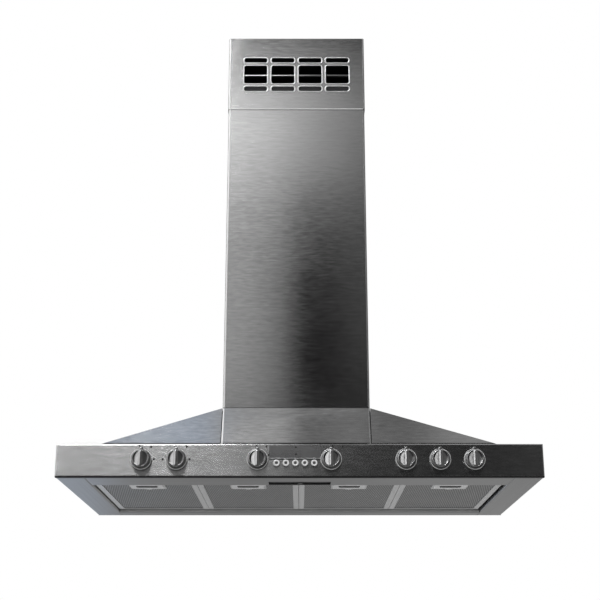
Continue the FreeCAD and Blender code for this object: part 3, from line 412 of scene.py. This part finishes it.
# An open grid of points, rows by columns, of which the cells marked in keep become faces
def gridPiece(name, points, material, body, keep):
    rows, columns = points.shape[:2]
    index = np.arange(rows * columns).reshape(rows, columns)
    faces = np.stack([index[:-1, :-1], index[1:, :-1], index[1:, 1:], index[:-1, 1:]], axis=-1)
    return meshPiece(name, points.reshape(-1, 3), faces[keep], material, body)


# A closed skin over a grid whose columns run round it. Its first and last rows are joined to each other
# on a ring, and otherwise each is closed by a fan. It is turned so that its volume is positive.
def skin(points, ring=False):
    rows, columns = points.shape[:2]
    index = np.arange(rows * columns).reshape(rows, columns)
    every = points.reshape(-1, 3)
    if ring:
        index = np.concatenate([index, index[:1]])
    following = np.roll(index, -1, axis=1)
    faces = [np.stack([index[:-1], following[:-1], following[1:], index[1:]], axis=-1).reshape(-1, 4)]
    if not ring:
        ends = np.array([len(every), len(every) + 1])[:, None] + np.zeros((2, columns), int)
        every = np.concatenate([every, points[[0, -1]].mean(axis=1)])
        faces.append(np.stack([following[0], index[0], ends[0], ends[0]], axis=-1))
        faces.append(np.stack([index[-1], following[-1], ends[1], ends[1]], axis=-1))
    faces = np.concatenate(faces)
    a, b, c, d = np.moveaxis(every[faces], 1, 0)
    volume = np.sum(a * (np.cross(b, c) + np.cross(c, d)))
    return every, faces if volume > 0 else faces[:, [1, 0, 3, 2]]


# Several skins as one piece
def skinPiece(name, skins, material, body):
    starts = np.cumsum([0] + [len(points) for points, faces in skins[:-1]])
    faces = np.concatenate([skinFaces + first for first, (points, skinFaces) in zip(starts, skins)])
    points = np.concatenate([skinPoints for skinPoints, skinFaces in skins])
    return meshPiece(name, points, faces, material, body)


mostCut = 0.45        # the most of the way to the next point that a softened corner takes


def cutBack(corner, near, cut):
    share = np.minimum(cut / np.linalg.norm(near - corner, axis=1), mostCut)
    return (corner + (near - corner) * share[:, None])[:, None]


# A path whose inner corners become short quadratic curves that start at the cut's distance from them. At a
# share s a curve is (1 - s) squared of its start, twice s (1 - s) of the corner and s squared of its end.
def softened(path, cut, steps=4):
    path = np.array(path, float)
    before, corner, after = path[:-2], path[1:-1], path[2:]
    share = np.linspace(0, 1, steps)[None, :, None]
    curve = ((1 - share) ** 2 * cutBack(corner, before, cut) + 2 * share * (1 - share) * corner[:, None]
             + share ** 2 * cutBack(corner, after, cut))
    return np.concatenate([path[:1], curve.reshape(-1, path.shape[1]), path[-1:]])


# A profile of radius and height turned about an axis along Y, with height towards the cook. X and Z are
# the radius times the sine and the cosine of the turn.
def turned(profile, centre, spokes):
    radius, height = np.array(profile).T[:, :, None]
    turn = np.linspace(0, 2 * math.pi, spokes, endpoint=False)
    return np.stack([centre[0] + radius * np.sin(turn), centre[1] - height + 0 * turn,
                     centre[2] + radius * np.cos(turn)], axis=-1)


# Filter pads: the lower face rises and falls as layers of expanded mesh do. Each leans one way, and
# trayHalf and trayBehind are the reach of the handle's recess from its middle and behind its plate.
padLook = dict(rise=0.0011, acrossPitch=0.0046, alongPitch=0.024, weaker=0.4, columns=260, rows=110,
               skin=0.004, leans=(1, 1, -1, -1), trayHalf=0.0348, trayBehind=0.0005)


# The recess for the handle: its left and right sides and its rear, from the handle plate that covers it
def trayEdges(number):
    low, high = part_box(f"filter_latch_{number}")
    middle = (low.x + high.x) / 2
    return middle - padLook["trayHalf"], middle + padLook["trayHalf"], high.y + padLook["trayBehind"]


# The height is that of the larger of two crossed diagonal waves, cos(a + b) and cos(a - b), with the
# second one weaker: it is the rise times half of one minus the wave.
def filterPad(number, lean):
    low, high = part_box(f"filter_mesh_{number}")
    across, along = np.meshgrid(np.linspace(low.x, high.x, padLook["columns"]),
                                np.linspace(low.y, high.y, padLook["rows"]))
    a = 2 * math.pi * across / padLook["acrossPitch"]
    b = 2 * math.pi * along / padLook["alongPitch"] * lean
    wave = np.maximum(np.cos(a + b), padLook["weaker"] * np.cos(a - b))
    height = low.z + padLook["rise"] * (1 - wave) / 2
    points = np.stack([across, along, height], axis=-1)
    left, right, rear = trayEdges(number)
    middleX = (across[:-1, :-1] + across[1:, 1:]) / 2
    middleY = (along[:-1, :-1] + along[1:, 1:]) / 2
    keep = (middleX < left) | (middleX > right) | (middleY > rear)
    pad = gridPiece(f"filter_pad_{number}", points, padMetal, f"grease_filter_{number}",
                    keep)
    thick = pad.modifiers.new("thick", "SOLIDIFY")
    thick.thickness = padLook["skin"]
    thick.offset = -1        # inwards
    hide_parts(f"filter_mesh_{number}")


for number, lean in zip(filterNumbers, padLook["leans"]):
    filterPad(number, lean)
print("filter pads made")

# Knobs: a body of revolution with a sunken face and a cavity behind, a ridged bar across the face, a
# pointer at the top and a D-shaped spindle. Points are (radius, height) or (across, height).
knobLook = dict(
    places=(-292.05, -227.01, -77.92, 57.96, 196.10, 258.89, 322.0), height=32.5, back=-500.6,
    faceRows=(0.3, 3.0, 5.5, 8.0, 10.5, 12.5, 13.6), faceTop=13.4, faceFall=0.34, faceBar=3.6,
    body=((13.6, 11.4), (13.9, 14.9), (15.3, 14.9), (16.0, 13.6), (16.2, 4.3), (17.2, 3.3), (17.8, 4.0),
          (19.3, 4.0), (19.6, 3.3), (19.6, 0.4), (19.2, 0.0), (12.1, 0.0), (12.1, 6.0), (0.3, 6.0)),
    edge=0.5, spokes=96,
    bar=((-4.2, 9.5), (-4.2, 15.3), (-3.7, 16.2), (-0.7, 17.45), (0.7, 17.45), (3.7, 16.2), (4.2, 15.3),
         (4.2, 9.5)), barReach=15.9, barRows=25, endPower=18, endRoot=3,
    pointer=((-1.0, 0.3), (-1.0, 6.9), (-0.72, 8.0), (0.72, 8.0), (1.0, 6.9), (1.0, 0.3)), pointerEdge=0.15,
    pointerRoot=4.2, pointerTip=2.5, pointerStart=13.0, pointerReach=22.6, pointerRows=12,
    spindle=3.0, flat=2.1, spindleFront=7.0, spindleDepth=11.8, spindleSpokes=48, leastCosine=0.01,
    rim=(18.9, 4.0), rimHalf=(0.5, 0.42), rimSpokes=12,
)


# The sunken face falls evenly from the bar to both sides, within the turned body.
def knobBody(look, x, z):
    centre = (x, look["back"], z)
    body = turned(softened(look["body"], look["edge"]), centre, look["spokes"])
    face = turned([(radius, look["faceTop"]) for radius in look["faceRows"]], centre, look["spokes"])
    face[:, :, 1] += look["faceFall"] * np.maximum(np.abs(face[:, :, 0] - x) - look["faceBar"], 0)
    return np.concatenate([face, body[1:]])


# The share of its height that the bar or pointer keeps: a root of one minus a high power of the share of
# the way to its end
def endFall(look, share):
    return (1 - np.abs(share) ** look["endPower"]) ** (1 / look["endRoot"])


# The bar's section runs up and down the face, and ends on the circle of the bar's reach.
def knobBar(look, x, z):
    across, height = softened(look["bar"], look["edge"]).T
    share = np.sin(np.linspace(-math.pi / 2, math.pi / 2, look["barRows"]))[:, None]
    foot = look["bar"][0][1]
    return np.stack([x + across + 0 * share, look["back"] - foot - (height - foot) * endFall(look, share),
                     z + share * np.sqrt(look["barReach"] ** 2 - across ** 2)], axis=-1)


# The pointer's section grows evenly narrower from its root to its tip.
def knobPointer(look, x, z):
    across, height = softened(look["pointer"], look["pointerEdge"]).T
    share = np.sin(np.linspace(0, math.pi / 2, look["pointerRows"]))[:, None]
    reach = look["pointerStart"] + (look["pointerReach"] - look["pointerStart"]) * share
    width = look["pointerRoot"] + (look["pointerTip"] - look["pointerRoot"]) * reach / look["pointerReach"]
    return np.stack([x + across * width, look["back"] - height * endFall(look, share),
                     z + reach + 0 * across], axis=-1)


# The spindle's radius is that of a circle, or of its flat where that is nearer.
def knobSpindle(look, x, z):
    turn = np.linspace(0, 2 * math.pi, look["spindleSpokes"], endpoint=False)
    radius = np.minimum(look["spindle"], look["flat"] / np.maximum(np.cos(turn), look["leastCosine"]))
    along = np.array([look["back"] - look["spindleFront"], look["back"] + look["spindleDepth"]])[:, None]
    return np.stack([x + radius * np.sin(turn) + 0 * along, along + 0 * turn,
                     z + radius * np.cos(turn) + 0 * along], axis=-1)


# The edge of the knob's skirt, white as a painted highlight: an ellipse turned about the knob's middle
def knobRim(look, x, z):
    around = np.linspace(0, 2 * math.pi, look["rimSpokes"], endpoint=False)
    profile = np.stack([look["rim"][0] + look["rimHalf"][0] * np.cos(around),
                        look["rim"][1] + look["rimHalf"][1] * np.sin(around)], axis=-1)
    return skin(turned(profile, (x, look["back"], z), look["spokes"]) / perMetre, ring=True)


for number, x in enumerate(knobLook["places"], 1):
    z = knobLook["height"]
    body = f"control_knob_{number}"
    grids = [form(knobLook, x, z) for form in (knobBody, knobBar, knobPointer, knobSpindle)]
    skins = [skin(grid / perMetre) for grid in grids]
    knob = skinPiece(f"knob_cap_{number}", skins, knobMetal, body)
    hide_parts(f"knob_{number}")
    skinPiece(f"knob_rim_{number}", [knobRim(knobLook, x, z)], paintedHighlight, body)
print("knobs made")

# Rings on the push buttons, white as a painted highlight
ringLook = dict(places=(-42.8, -25.4, -8.0, 9.4, 26.8), height=25.5, crown=-504.2, radius=4.4, width=1.5,
                rise=0.95, sectionSpokes=16, spokes=48)


# An ellipse turned about the button's middle
def buttonRing(look, x):
    around = np.linspace(0, 2 * math.pi, look["sectionSpokes"], endpoint=False)
    profile = np.stack([look["radius"] + look["width"] * np.cos(around),
                        look["rise"] * np.sin(around)], axis=-1)
    centre = (x, look["crown"], look["height"])
    return skin(turned(profile, centre, look["spokes"]) / perMetre, ring=True)


for number, x in enumerate(ringLook["places"], 1):
    skinPiece(f"button_ring_{number}", [buttonRing(ringLook, x)], paintedHighlight, f"push_button_{number}")
print("button rings made")

# Rolled rims of the vents, in columns of a slot, a square and a slot, lighter as a painted highlight
ventLook = dict(middle=-7.0, pitch=59.5, columns=4, width=51.5, slot=12.5, square=45.0, gap=6.2, top=952.0,
                corner=5.0, face=-351.35, rimWidth=1.5, rimRise=1.0, rimInset=0.5, turnSteps=7, rimSteps=9,
                sink=0.04)
cornerSides = np.array([[1, 1], [-1, 1], [-1, -1], [1, -1]])


# A flat half ellipse carried round a rounded rectangle: each point stands off the centre of its corner by
# the corner's radius and its own place across the rim.
def ventRim(look, x, low, high):
    corner = min(look["corner"], (high - low) / 2)
    quarter = np.linspace(0, math.pi / 2, look["turnSteps"])
    turn = (quarter[None, :] + np.arange(len(cornerSides))[:, None] * math.pi / 2).reshape(-1)
    middle = np.array([x, (low + high) / 2])
    half = np.array([look["width"] / 2 - corner, (high - low) / 2 - corner])
    centres = middle + np.repeat(cornerSides, look["turnSteps"], axis=0) * half
    around = np.linspace(0, math.pi, look["rimSteps"])
    across = look["rimInset"] + look["rimWidth"] * np.cos(around)
    rise = look["rimRise"] * np.sin(around) - look["sink"]
    radius = corner + across[None, :] + 0 * turn[:, None]
    return np.stack([centres[:, :1] + radius * np.cos(turn)[:, None],
                     look["face"] - rise[None, :] + 0 * radius,
                     centres[:, 1:] + radius * np.sin(turn)[:, None]], axis=-1)


rims = []
for column in range(ventLook["columns"]):
    x = ventLook["middle"] + (column - (ventLook["columns"] - 1) / 2) * ventLook["pitch"]
    top = ventLook["top"]
    for tall in (ventLook["slot"], ventLook["square"], ventLook["slot"]):
        rims.append(skin(ventRim(ventLook, x, top - tall, top) / perMetre, ring=True))
        top -= tall + ventLook["gap"]
skinPiece("vent_rims", rims, rimHighlightSteel, "chimney_sleeve")
print("vent rims made")

beadSteps = 11
towardsCook = (0, -1, 0)
flueEdges = dict(left=-151.2, right=137.5, face=-349.97, low=164.8, high=825.6)
sleeveEdges = dict(left=-152.6, right=138.7, face=-351.33, low=826.6, high=999.4)
canopyFold = dict(foot=62.2, riser=86.0, top=163.2, front=-388.77, back=-351.0)
edgeLook = dict(rise=0.3, left=1.6, right=1.1)        # the rise of a bright fold, and its half width


# A straight bead: half an ellipse carried from end to end. It is half times the cosine across, and rises
# from its surface, along up, by rise times the sine.
def bead(ends, up, half, rise):
    ends = np.array(ends, float)
    along = (ends[1] - ends[0]) / np.linalg.norm(ends[1] - ends[0])
    up = np.array(up, float) / np.linalg.norm(up)
    around = np.linspace(0, math.pi, beadSteps)[:, None]
    section = np.cross(up, along) * half * np.cos(around) + up * rise * np.sin(around)
    return skin((ends[:, None, :] + section) / perMetre)


# The bead on the fold of one side of the sloping centre panel: up its riser, then up its slope
def canopyEdge(side):
    x = flueEdges[side]
    foot = (x, canopyFold["front"], canopyFold["foot"])
    fold = (x, canopyFold["front"], canopyFold["riser"])
    top = (x, canopyFold["back"], canopyFold["top"])
    outwards = (0, fold[2] - top[2], top[1] - fold[1])
    return [bead((foot, fold), towardsCook, edgeLook[side], edgeLook["rise"]),
            bead((fold, top), outwards, edgeLook[side], edgeLook["rise"])]


def levelBead(left, right, y, z, half, rise):
    return [bead(((left, y, z), (right, y, z)), towardsCook, half, rise)]


def uprightBead(edges, side):
    ends = ((edges[side], edges["face"], edges["low"]), (edges[side], edges["face"], edges["high"]))
    return [bead(ends, towardsCook, edgeLook[side], edgeLook["rise"])]


# Painted highlights: the white beads on left edges, hems and the rear rest; painted shade: dark right edges
beads = {
    "canopy_bead": (levelBead(left=-153.5, right=139.5, y=-350.2, z=164.3, half=0.9, rise=0.9),
                    railAluminium, "hood"),
    "window_sill": (levelBead(left=-56.0, right=40.0, y=-499.55, z=34.6, half=0.7, rise=0.5),
                    knobMetal, "hood"),
    # Painted shade: a black strip under the window's sill, where the gap lies in shade
    "window_groove": (levelBead(left=-56.0, right=40.0, y=-499.9, z=32.6, half=0.8, rise=0.25),
                      inkAndShadeBlack, "hood"),
    "rear_bead": (levelBead(left=-394.0, right=394.0, y=-50.5, z=2.4, half=0.9, rise=0.5),
                  paintedHighlight, "hood"),
    "flue_edge_left": (uprightBead(flueEdges, "left"), paintedHighlight, "hood"),
    "flue_edge_right": (uprightBead(flueEdges, "right"), paintedEdgeShade, "hood"),
    "canopy_edge_left": (canopyEdge("left"), paintedHighlight, "hood"),
    "canopy_edge_right": (canopyEdge("right"), paintedEdgeShade, "hood"),
    "sleeve_edge_left": (uprightBead(sleeveEdges, "left"), paintedHighlight, "chimney_sleeve"),
    "sleeve_edge_right": (uprightBead(sleeveEdges, "right"), paintedEdgeShade, "chimney_sleeve"),
    "sleeve_hem": (levelBead(left=-150.6, right=136.8, y=-351.33, z=827.2, half=0.8, rise=0.3),
                   paintedHighlight, "chimney_sleeve"),
    # Painted shade: a dark strip behind the sleeve's bottom slots
    "slide_felt": (levelBead(left=-131.0, right=117.0, y=-350.1, z=875.8, half=9.5, rise=0.2),
                   slotShadeGrey, "chimney_sleeve"),
}
for name, (skins, material, body) in beads.items():
    skinPiece(name, skins, material, body)

# Catch of the lamp cover: a black pad with a bent wire in the form of a Y
catchLook = dict(centre=(1.0, -421.0, 0.95), pad=(4.6, 8.6, 0.9), power=0.55, wire=0.45, drop=0.45,
                 stem=((0.0, -5.0), (0.0, -8.0)), tips=((-3.2, -12.0), (3.2, -12.0)), bend=1.0,
                 bendSteps=6, wireSpokes=10)
pillowRows = 14
pillowSpokes = 48


# A superellipsoid: its sines and cosines are raised to one power. A small power makes it a rounded plate.
def pillow(centre, half, power):
    up = np.linspace(-math.pi / 2, math.pi / 2, pillowRows)[1:-1, None]
    around = np.linspace(0, 2 * math.pi, pillowSpokes, endpoint=False)

    def raised(value):
        return np.sign(value) * np.abs(value) ** power
    return skin(np.stack([centre[0] + half[0] * raised(np.cos(up)) * raised(np.cos(around)),
                          centre[1] + half[1] * raised(np.cos(up)) * raised(np.sin(around)),
                          centre[2] + half[2] * raised(np.sin(up)) + 0 * around], axis=-1) / perMetre)


# A round wire along a softened path that lies flat: its circle stands square to the way ahead.
def catchWire(look, tip):
    path = softened((*look["stem"], tip), look["bend"], look["bendSteps"])
    ahead = np.gradient(path, axis=0)
    ahead = ahead / np.linalg.norm(ahead, axis=1, keepdims=True)
    around = np.linspace(0, 2 * math.pi, look["wireSpokes"], endpoint=False)
    side = look["wire"] * np.cos(around)
    x, y, z = look["centre"]
    wire = np.stack([x + path[:, :1] - ahead[:, 1:] * side, y + path[:, 1:] + ahead[:, :1] * side,
                     z - look["drop"] + look["wire"] * np.sin(around) + 0 * path[:, :1]], axis=-1)
    return skin(wire / perMetre)


catchPad = pillow(catchLook["centre"], catchLook["pad"], catchLook["power"])
skinPiece("lamp_catch_pad", [catchPad], blackPlastic, "lamp_door")
skinPiece("lamp_catch_wire", [catchWire(catchLook, tip) for tip in catchLook["tips"]], brightRing,
          "lamp_door")
print("beads and lamp catch made")

# Filter handles: a bright front lip, and a black plate of painted shade in the finger pull, on the
# underside of each. Places are back from the handle's front edge and down from its underside.
gripLook = dict(lip=(22.5, 7.0, 0.3), lipBack=18.2, pullShade=(20.5, 9.0, 0.35), pullShadeBack=35.2, under=0.25,
                power=0.3)
gripParts = (("lip", handleAluminium, "filter_rail"), ("pullShade", inkAndShadeBlack, "switch_plastic"))

for number in filterNumbers:
    low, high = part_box(f"filter_latch_{number}")
    middle = perMetre * (low.x + high.x) / 2
    under = perMetre * low.z - gripLook["under"]
    for part, shade, slotName in gripParts:
        centre = (middle, perMetre * low.y + gripLook[part + "Back"], under)
        plate = pillow(centre, gripLook[part], gripLook["power"])
        skinPiece(f"handle_{part}_{number}", [plate], shade, f"filter_handle_{number}")
print("handle pulls made")

# Printed marks beside the knobs and on the window, as (across, height). Their own sizes are in metres.
marks = dict(radius=0.002, rise=0.00006, face=-0.5, innermost=0.02, rings=3, spokes=16, places=(
    (-295.9, 58.0), (-274.2, 55.9), (-268.5, 33.1), (-229.7, 58.0), (-208.2, 56.2), (-202.9, 32.9),
    (-252.1, 32.7), (-80.2, 57.6), (-61.0, 57.0), (-57.5, 40.9), (60.7, 57.8), (79.5, 55.9), (169.5, 55.9),
    (164.5, 32.5), (260.9, 57.3), (324.1, 57.3)))
windowMarks = {**marks, "face": -0.49962, "radius": 0.0017, "places": ((-7.0, 55.5), (-7.1, 42.0))}


# Flat domes: at the share s of its radius, a dome's height is its rise times one minus s squared.
def printedDots(name, look, body):
    share = np.linspace(1, look["innermost"], look["rings"])
    profile = np.stack([look["radius"] * share, look["rise"] * (1 - share ** 2)], axis=-1)
    centres = [(x / perMetre, look["face"], z / perMetre) for x, z in look["places"]]
    dots = [skin(turned(profile, centre, look["spokes"])) for centre in centres]
    skinPiece(name, dots, inkAndShadeBlack, body)


printedDots("dial_marks", marks, "hood")
printedDots("window_marks", windowMarks, "hood")
print("printed marks made")

# Camera at the photograph's place: below the hood's edge and pitched up from a level view
camera = dict(place=(0.0006, -2.64925, -0.3695), level=90, pitch=17.73, lens=70.67, sensor=36.0, shift=0.02)


def setCamera():
    data = bpy.data.cameras.new("camera")
    data.lens = camera["lens"]
    data.sensor_width = camera["sensor"]
    data.shift_y = camera["shift"]
    eye = bpy.data.objects.new("camera", data)
    eye.location = camera["place"]
    eye.rotation_euler = (math.radians(camera["level"] + camera["pitch"]), 0, 0)
    scene.collection.objects.link(eye)
    scene.camera = eye


setCamera()

# Studio: a white world, a pale floor, soft lamps, and cards that only reflections see. The world shines
# weakly on the hood, and at full strength where it is seen.
worldLook = dict(weak=0.45, added=0.55)


def setWorld():
    world = bpy.data.worlds.new("studio")
    scene.world = world
    world.use_nodes = True
    world.node_tree.nodes.clear()
    start = Wire(world.node_tree)
    seen = start.node("LightPath", out="Is Camera Ray") + start.node("LightPath", out="Is Glossy Ray")
    seen = (seen + start.node("LightPath", out="Is Transmission Ray")).clamped()
    strength = worldLook["weak"] + worldLook["added"] * seen
    background = start.node("Background", {}, {"Color": rgb(1), "Strength": strength})
    start.node("OutputWorld", {}, {"Surface": background})


setWorld()

# The glow of a card changes along its X, in columns: a place, a glow and, where the light is bluish, "sky".
sky = (0.89, 1.0, 1.17)
cards = {
    "roofCard": dict(
        centre=(0, -2.3, 5.2), turn=(180, 0, 0), size=(16, 7.5), columns=(
            (-1.2, 0.4, sky), (-0.6, 0.56, sky), (-0.54, 0.47), (-0.085, 0.48), (-0.04, 0.18), (0.15, 0.18),
            (0.41, 0.28), (0.5, 0.16), (0.75, 0.18), (1.05, 0.34))),
    "overheadCard": dict(centre=(-1.9, -5.0, 5.0), turn=(180, 0, 0), size=(2.6, 1.9), columns=((0, 21.0),)),
    "rightCard": dict(centre=(4.55, -1.0, 1.8), turn=(90, 0, -90), size=(10, 7), columns=((0, 0.17),)),
    "rightRearCard": dict(centre=(3.8, 3.3, 1.8), turn=(90, 0, -90), size=(6, 7), columns=((0, 0.25),)),
    "stripCard": dict(centre=(-3.7, -5.8, 1.2), turn=(90, 0, 0), size=(1.2, 1.2), columns=((0, 4.0),)),
    "lowStripCard": dict(centre=(-3.7, -5.8, -0.1), turn=(90, 0, 0), size=(1.2, 1.2), columns=((0, 0.9),)),
    "leftRearCard": dict(centre=(-3.8, 2.6, 1.8), turn=(90, 0, 90), size=(6, 7), columns=((0, 0.25),)),
    "backCard": dict(
        centre=(0, 5.0, -0.45), turn=(-90, 180, 0), size=(14, 2.3), columns=(
            (-1.3, 0.4), (-0.8, 0.4), (-0.3, 0.31), (0.3, 0.27), (1.18, 0.34), (1.28, 0.55, sky),
            (1.5, 0.7, sky))),
    "floorCard": dict(centre=(0, -4.4, -1.57), turn=(0, 0, 0), size=(14, 7), columns=((0, 0.08),)),
    "rearFloorCard": dict(centre=(0, 2.1, -1.57), turn=(0, 0, 0), size=(14, 6), columns=((0, 0.2),)),
}


def columnGlow(name, columns):
    material, start = newMaterial(name + "Glow")
    across = coordinate(start, "X")
    places = [place for place, glow, *tint in columns]
    most = max(glow for place, glow, *tint in columns)
    colours = [rgb(glow / most, *tint) for place, glow, *tint in columns]
    colour = colours[0]
    for left, right, following in zip(places, places[1:], colours[1:]):
        colour = blendColour(start, past(across, left, 1 / (right - left)), colour, following)
    return glowing(material, start, colour, most)


# The wall behind the camera has soft pools of light, and on the left a window that grows brighter to the
# left of its edge and fades at its foot and its top. Above the dusk's level the wall is dark.
wall = dict(centre=(0, -6.0, 1.75), turn=(90, 0, 0), size=(9, 7))
wallMost = 2.0        # the brightest that the wall can be
pools = (
    dict(place=(-0.6, 3.72), reach=(1.0, 0.54), glow=1.4),
    dict(place=(0.48, 2.3), reach=(0.22, 0.8), glow=0.09),
    dict(place=(2.0, 1.8), reach=(0.75, 1.2), glow=0.09),
    dict(place=(-0.34, 0.0), reach=(0.36, 0.62), glow=0.55),
)
window = dict(edge=-0.05, soft=0.025, glow=0.185, skirt=0.012, skirtEnd=0.12, rise=0.26, riseWidth=0.34,
              foot=1.25, footWidth=0.2, top=3.5, topWidth=0.8)
dusk = dict(level=4.75, width=0.9, darkest=0.003)


# Each pool is its glow times e to the minus of (distance / reach) squared.
def wallGlow(name, look):
    material, start = newMaterial(name + "Glow")
    across = coordinate(start, "X")
    height = coordinate(start, "Y") + wall["centre"][2]
    glow = look["glow"] * shortOf(across, look["edge"], 1 / look["soft"])
    glow = glow + look["skirt"] * shortOf(across, look["skirtEnd"], 1 / (look["skirtEnd"] - look["edge"]))
    glow = glow + look["rise"] * shortOf(across, look["edge"] - look["soft"], 1 / look["riseWidth"])
    glow = glow * past(height, look["foot"], 1 / look["footWidth"])
    glow = glow * shortOf(height, look["top"], 1 / look["topWidth"])
    for pool in pools:
        sideways = (across - pool["place"][0]) * (1 / pool["reach"][0])
        upwards = (height - pool["place"][1]) * (1 / pool["reach"][1])
        spread = start.maths("EXPONENT", -1 * (sideways * sideways + upwards * upwards))
        glow = glow + pool["glow"] * spread
    glow = glow * shortOf(height, dusk["level"], 1 / dusk["width"]) + dusk["darkest"]
    colour = blendColour(start, glow * (1 / wallMost), rgb(0), rgb(1))
    return glowing(material, start, colour, wallMost)


# A flat rectangle with one face
def rectangle(name, half, level, material):
    corners = [(-half[0], -half[1], level), (half[0], -half[1], level), (half[0], half[1], level),
               (-half[0], half[1], level)]
    mesh = bpy.data.meshes.new(name)
    mesh.from_pydata(corners, [], [(0, 1, 2, 3)])
    mesh.materials.append(material)
    piece = bpy.data.objects.new(name, mesh)
    scene.collection.objects.link(piece)
    return piece


def card(name, centre, turn, size, glow):
    piece = rectangle(name, (size[0] / 2, size[1] / 2), 0, glow)
    piece.location = centre
    piece.rotation_euler = [math.radians(angle) for angle in turn]
    piece.visible_camera = False
    piece.visible_diffuse = False
    piece.visible_shadow = False
    piece.visible_transmission = False


card("wallCard", **wall, glow=wallGlow("wallCard", window))
for name, settings in cards.items():
    glow = columnGlow(name, settings["columns"])
    card(name, settings["centre"], settings["turn"], settings["size"], glow)

# The floor is partly a glow of its own where the camera sees it.
floorLook = dict(reach=14.0, level=-1.6, grey=0.86, roughness=0.9, glow=1.0, share=0.8)


def setFloor(look):
    material, start = newMaterial("paleFloor")
    share = look["share"] * start.node("LightPath", out="Is Camera Ray")
    matt = start.node("BsdfPrincipled", {}, {"Base Color": rgb(look["grey"]),
                                             "Roughness": look["roughness"]})
    lit = start.node("Emission", {}, {"Color": rgb(1), "Strength": look["glow"]})
    both = start.node("MixShader", {}, {0: share, 1: matt, 2: lit})
    start.node("OutputMaterial", {}, {"Surface": both})
    floor = rectangle("floor", (look["reach"], look["reach"]), look["level"], material)


setFloor(floorLook)

lamps = {
    "keyLamp": dict(place=(-2.2, -3.2, 3.2), aim=(0, -0.3, 0.3), size=2.2, power=90.0),
    "fillLamp": dict(place=(3.0, -2.6, 1.6), aim=(0, -0.3, 0.2), size=2.4, power=22.0),
    "backLamp": dict(place=(0.8, 3.2, 2.6), aim=(0, 0, 0.4), size=2.6, power=60.0),
}


# A lamp shines down its own Z, so it is tilted up from there and then turned towards its aim.
def setLamp(name, place, aim, size, power):
    data = bpy.data.lights.new(name, "AREA")
    data.size = size
    data.energy = power
    lamp = bpy.data.objects.new(name, data)
    lamp.location = place
    across, ahead, up = np.array(aim) - np.array(place)
    tilt = math.atan2(math.hypot(across, ahead), -up)
    lamp.rotation_euler = (tilt, 0, math.atan2(ahead, across) - math.pi / 2)
    lamp.visible_glossy = False
    scene.collection.objects.link(lamp)


for name, settings in lamps.items():
    setLamp(name, **settings)

scene.view_settings.view_transform = "Standard"
print("studio set")
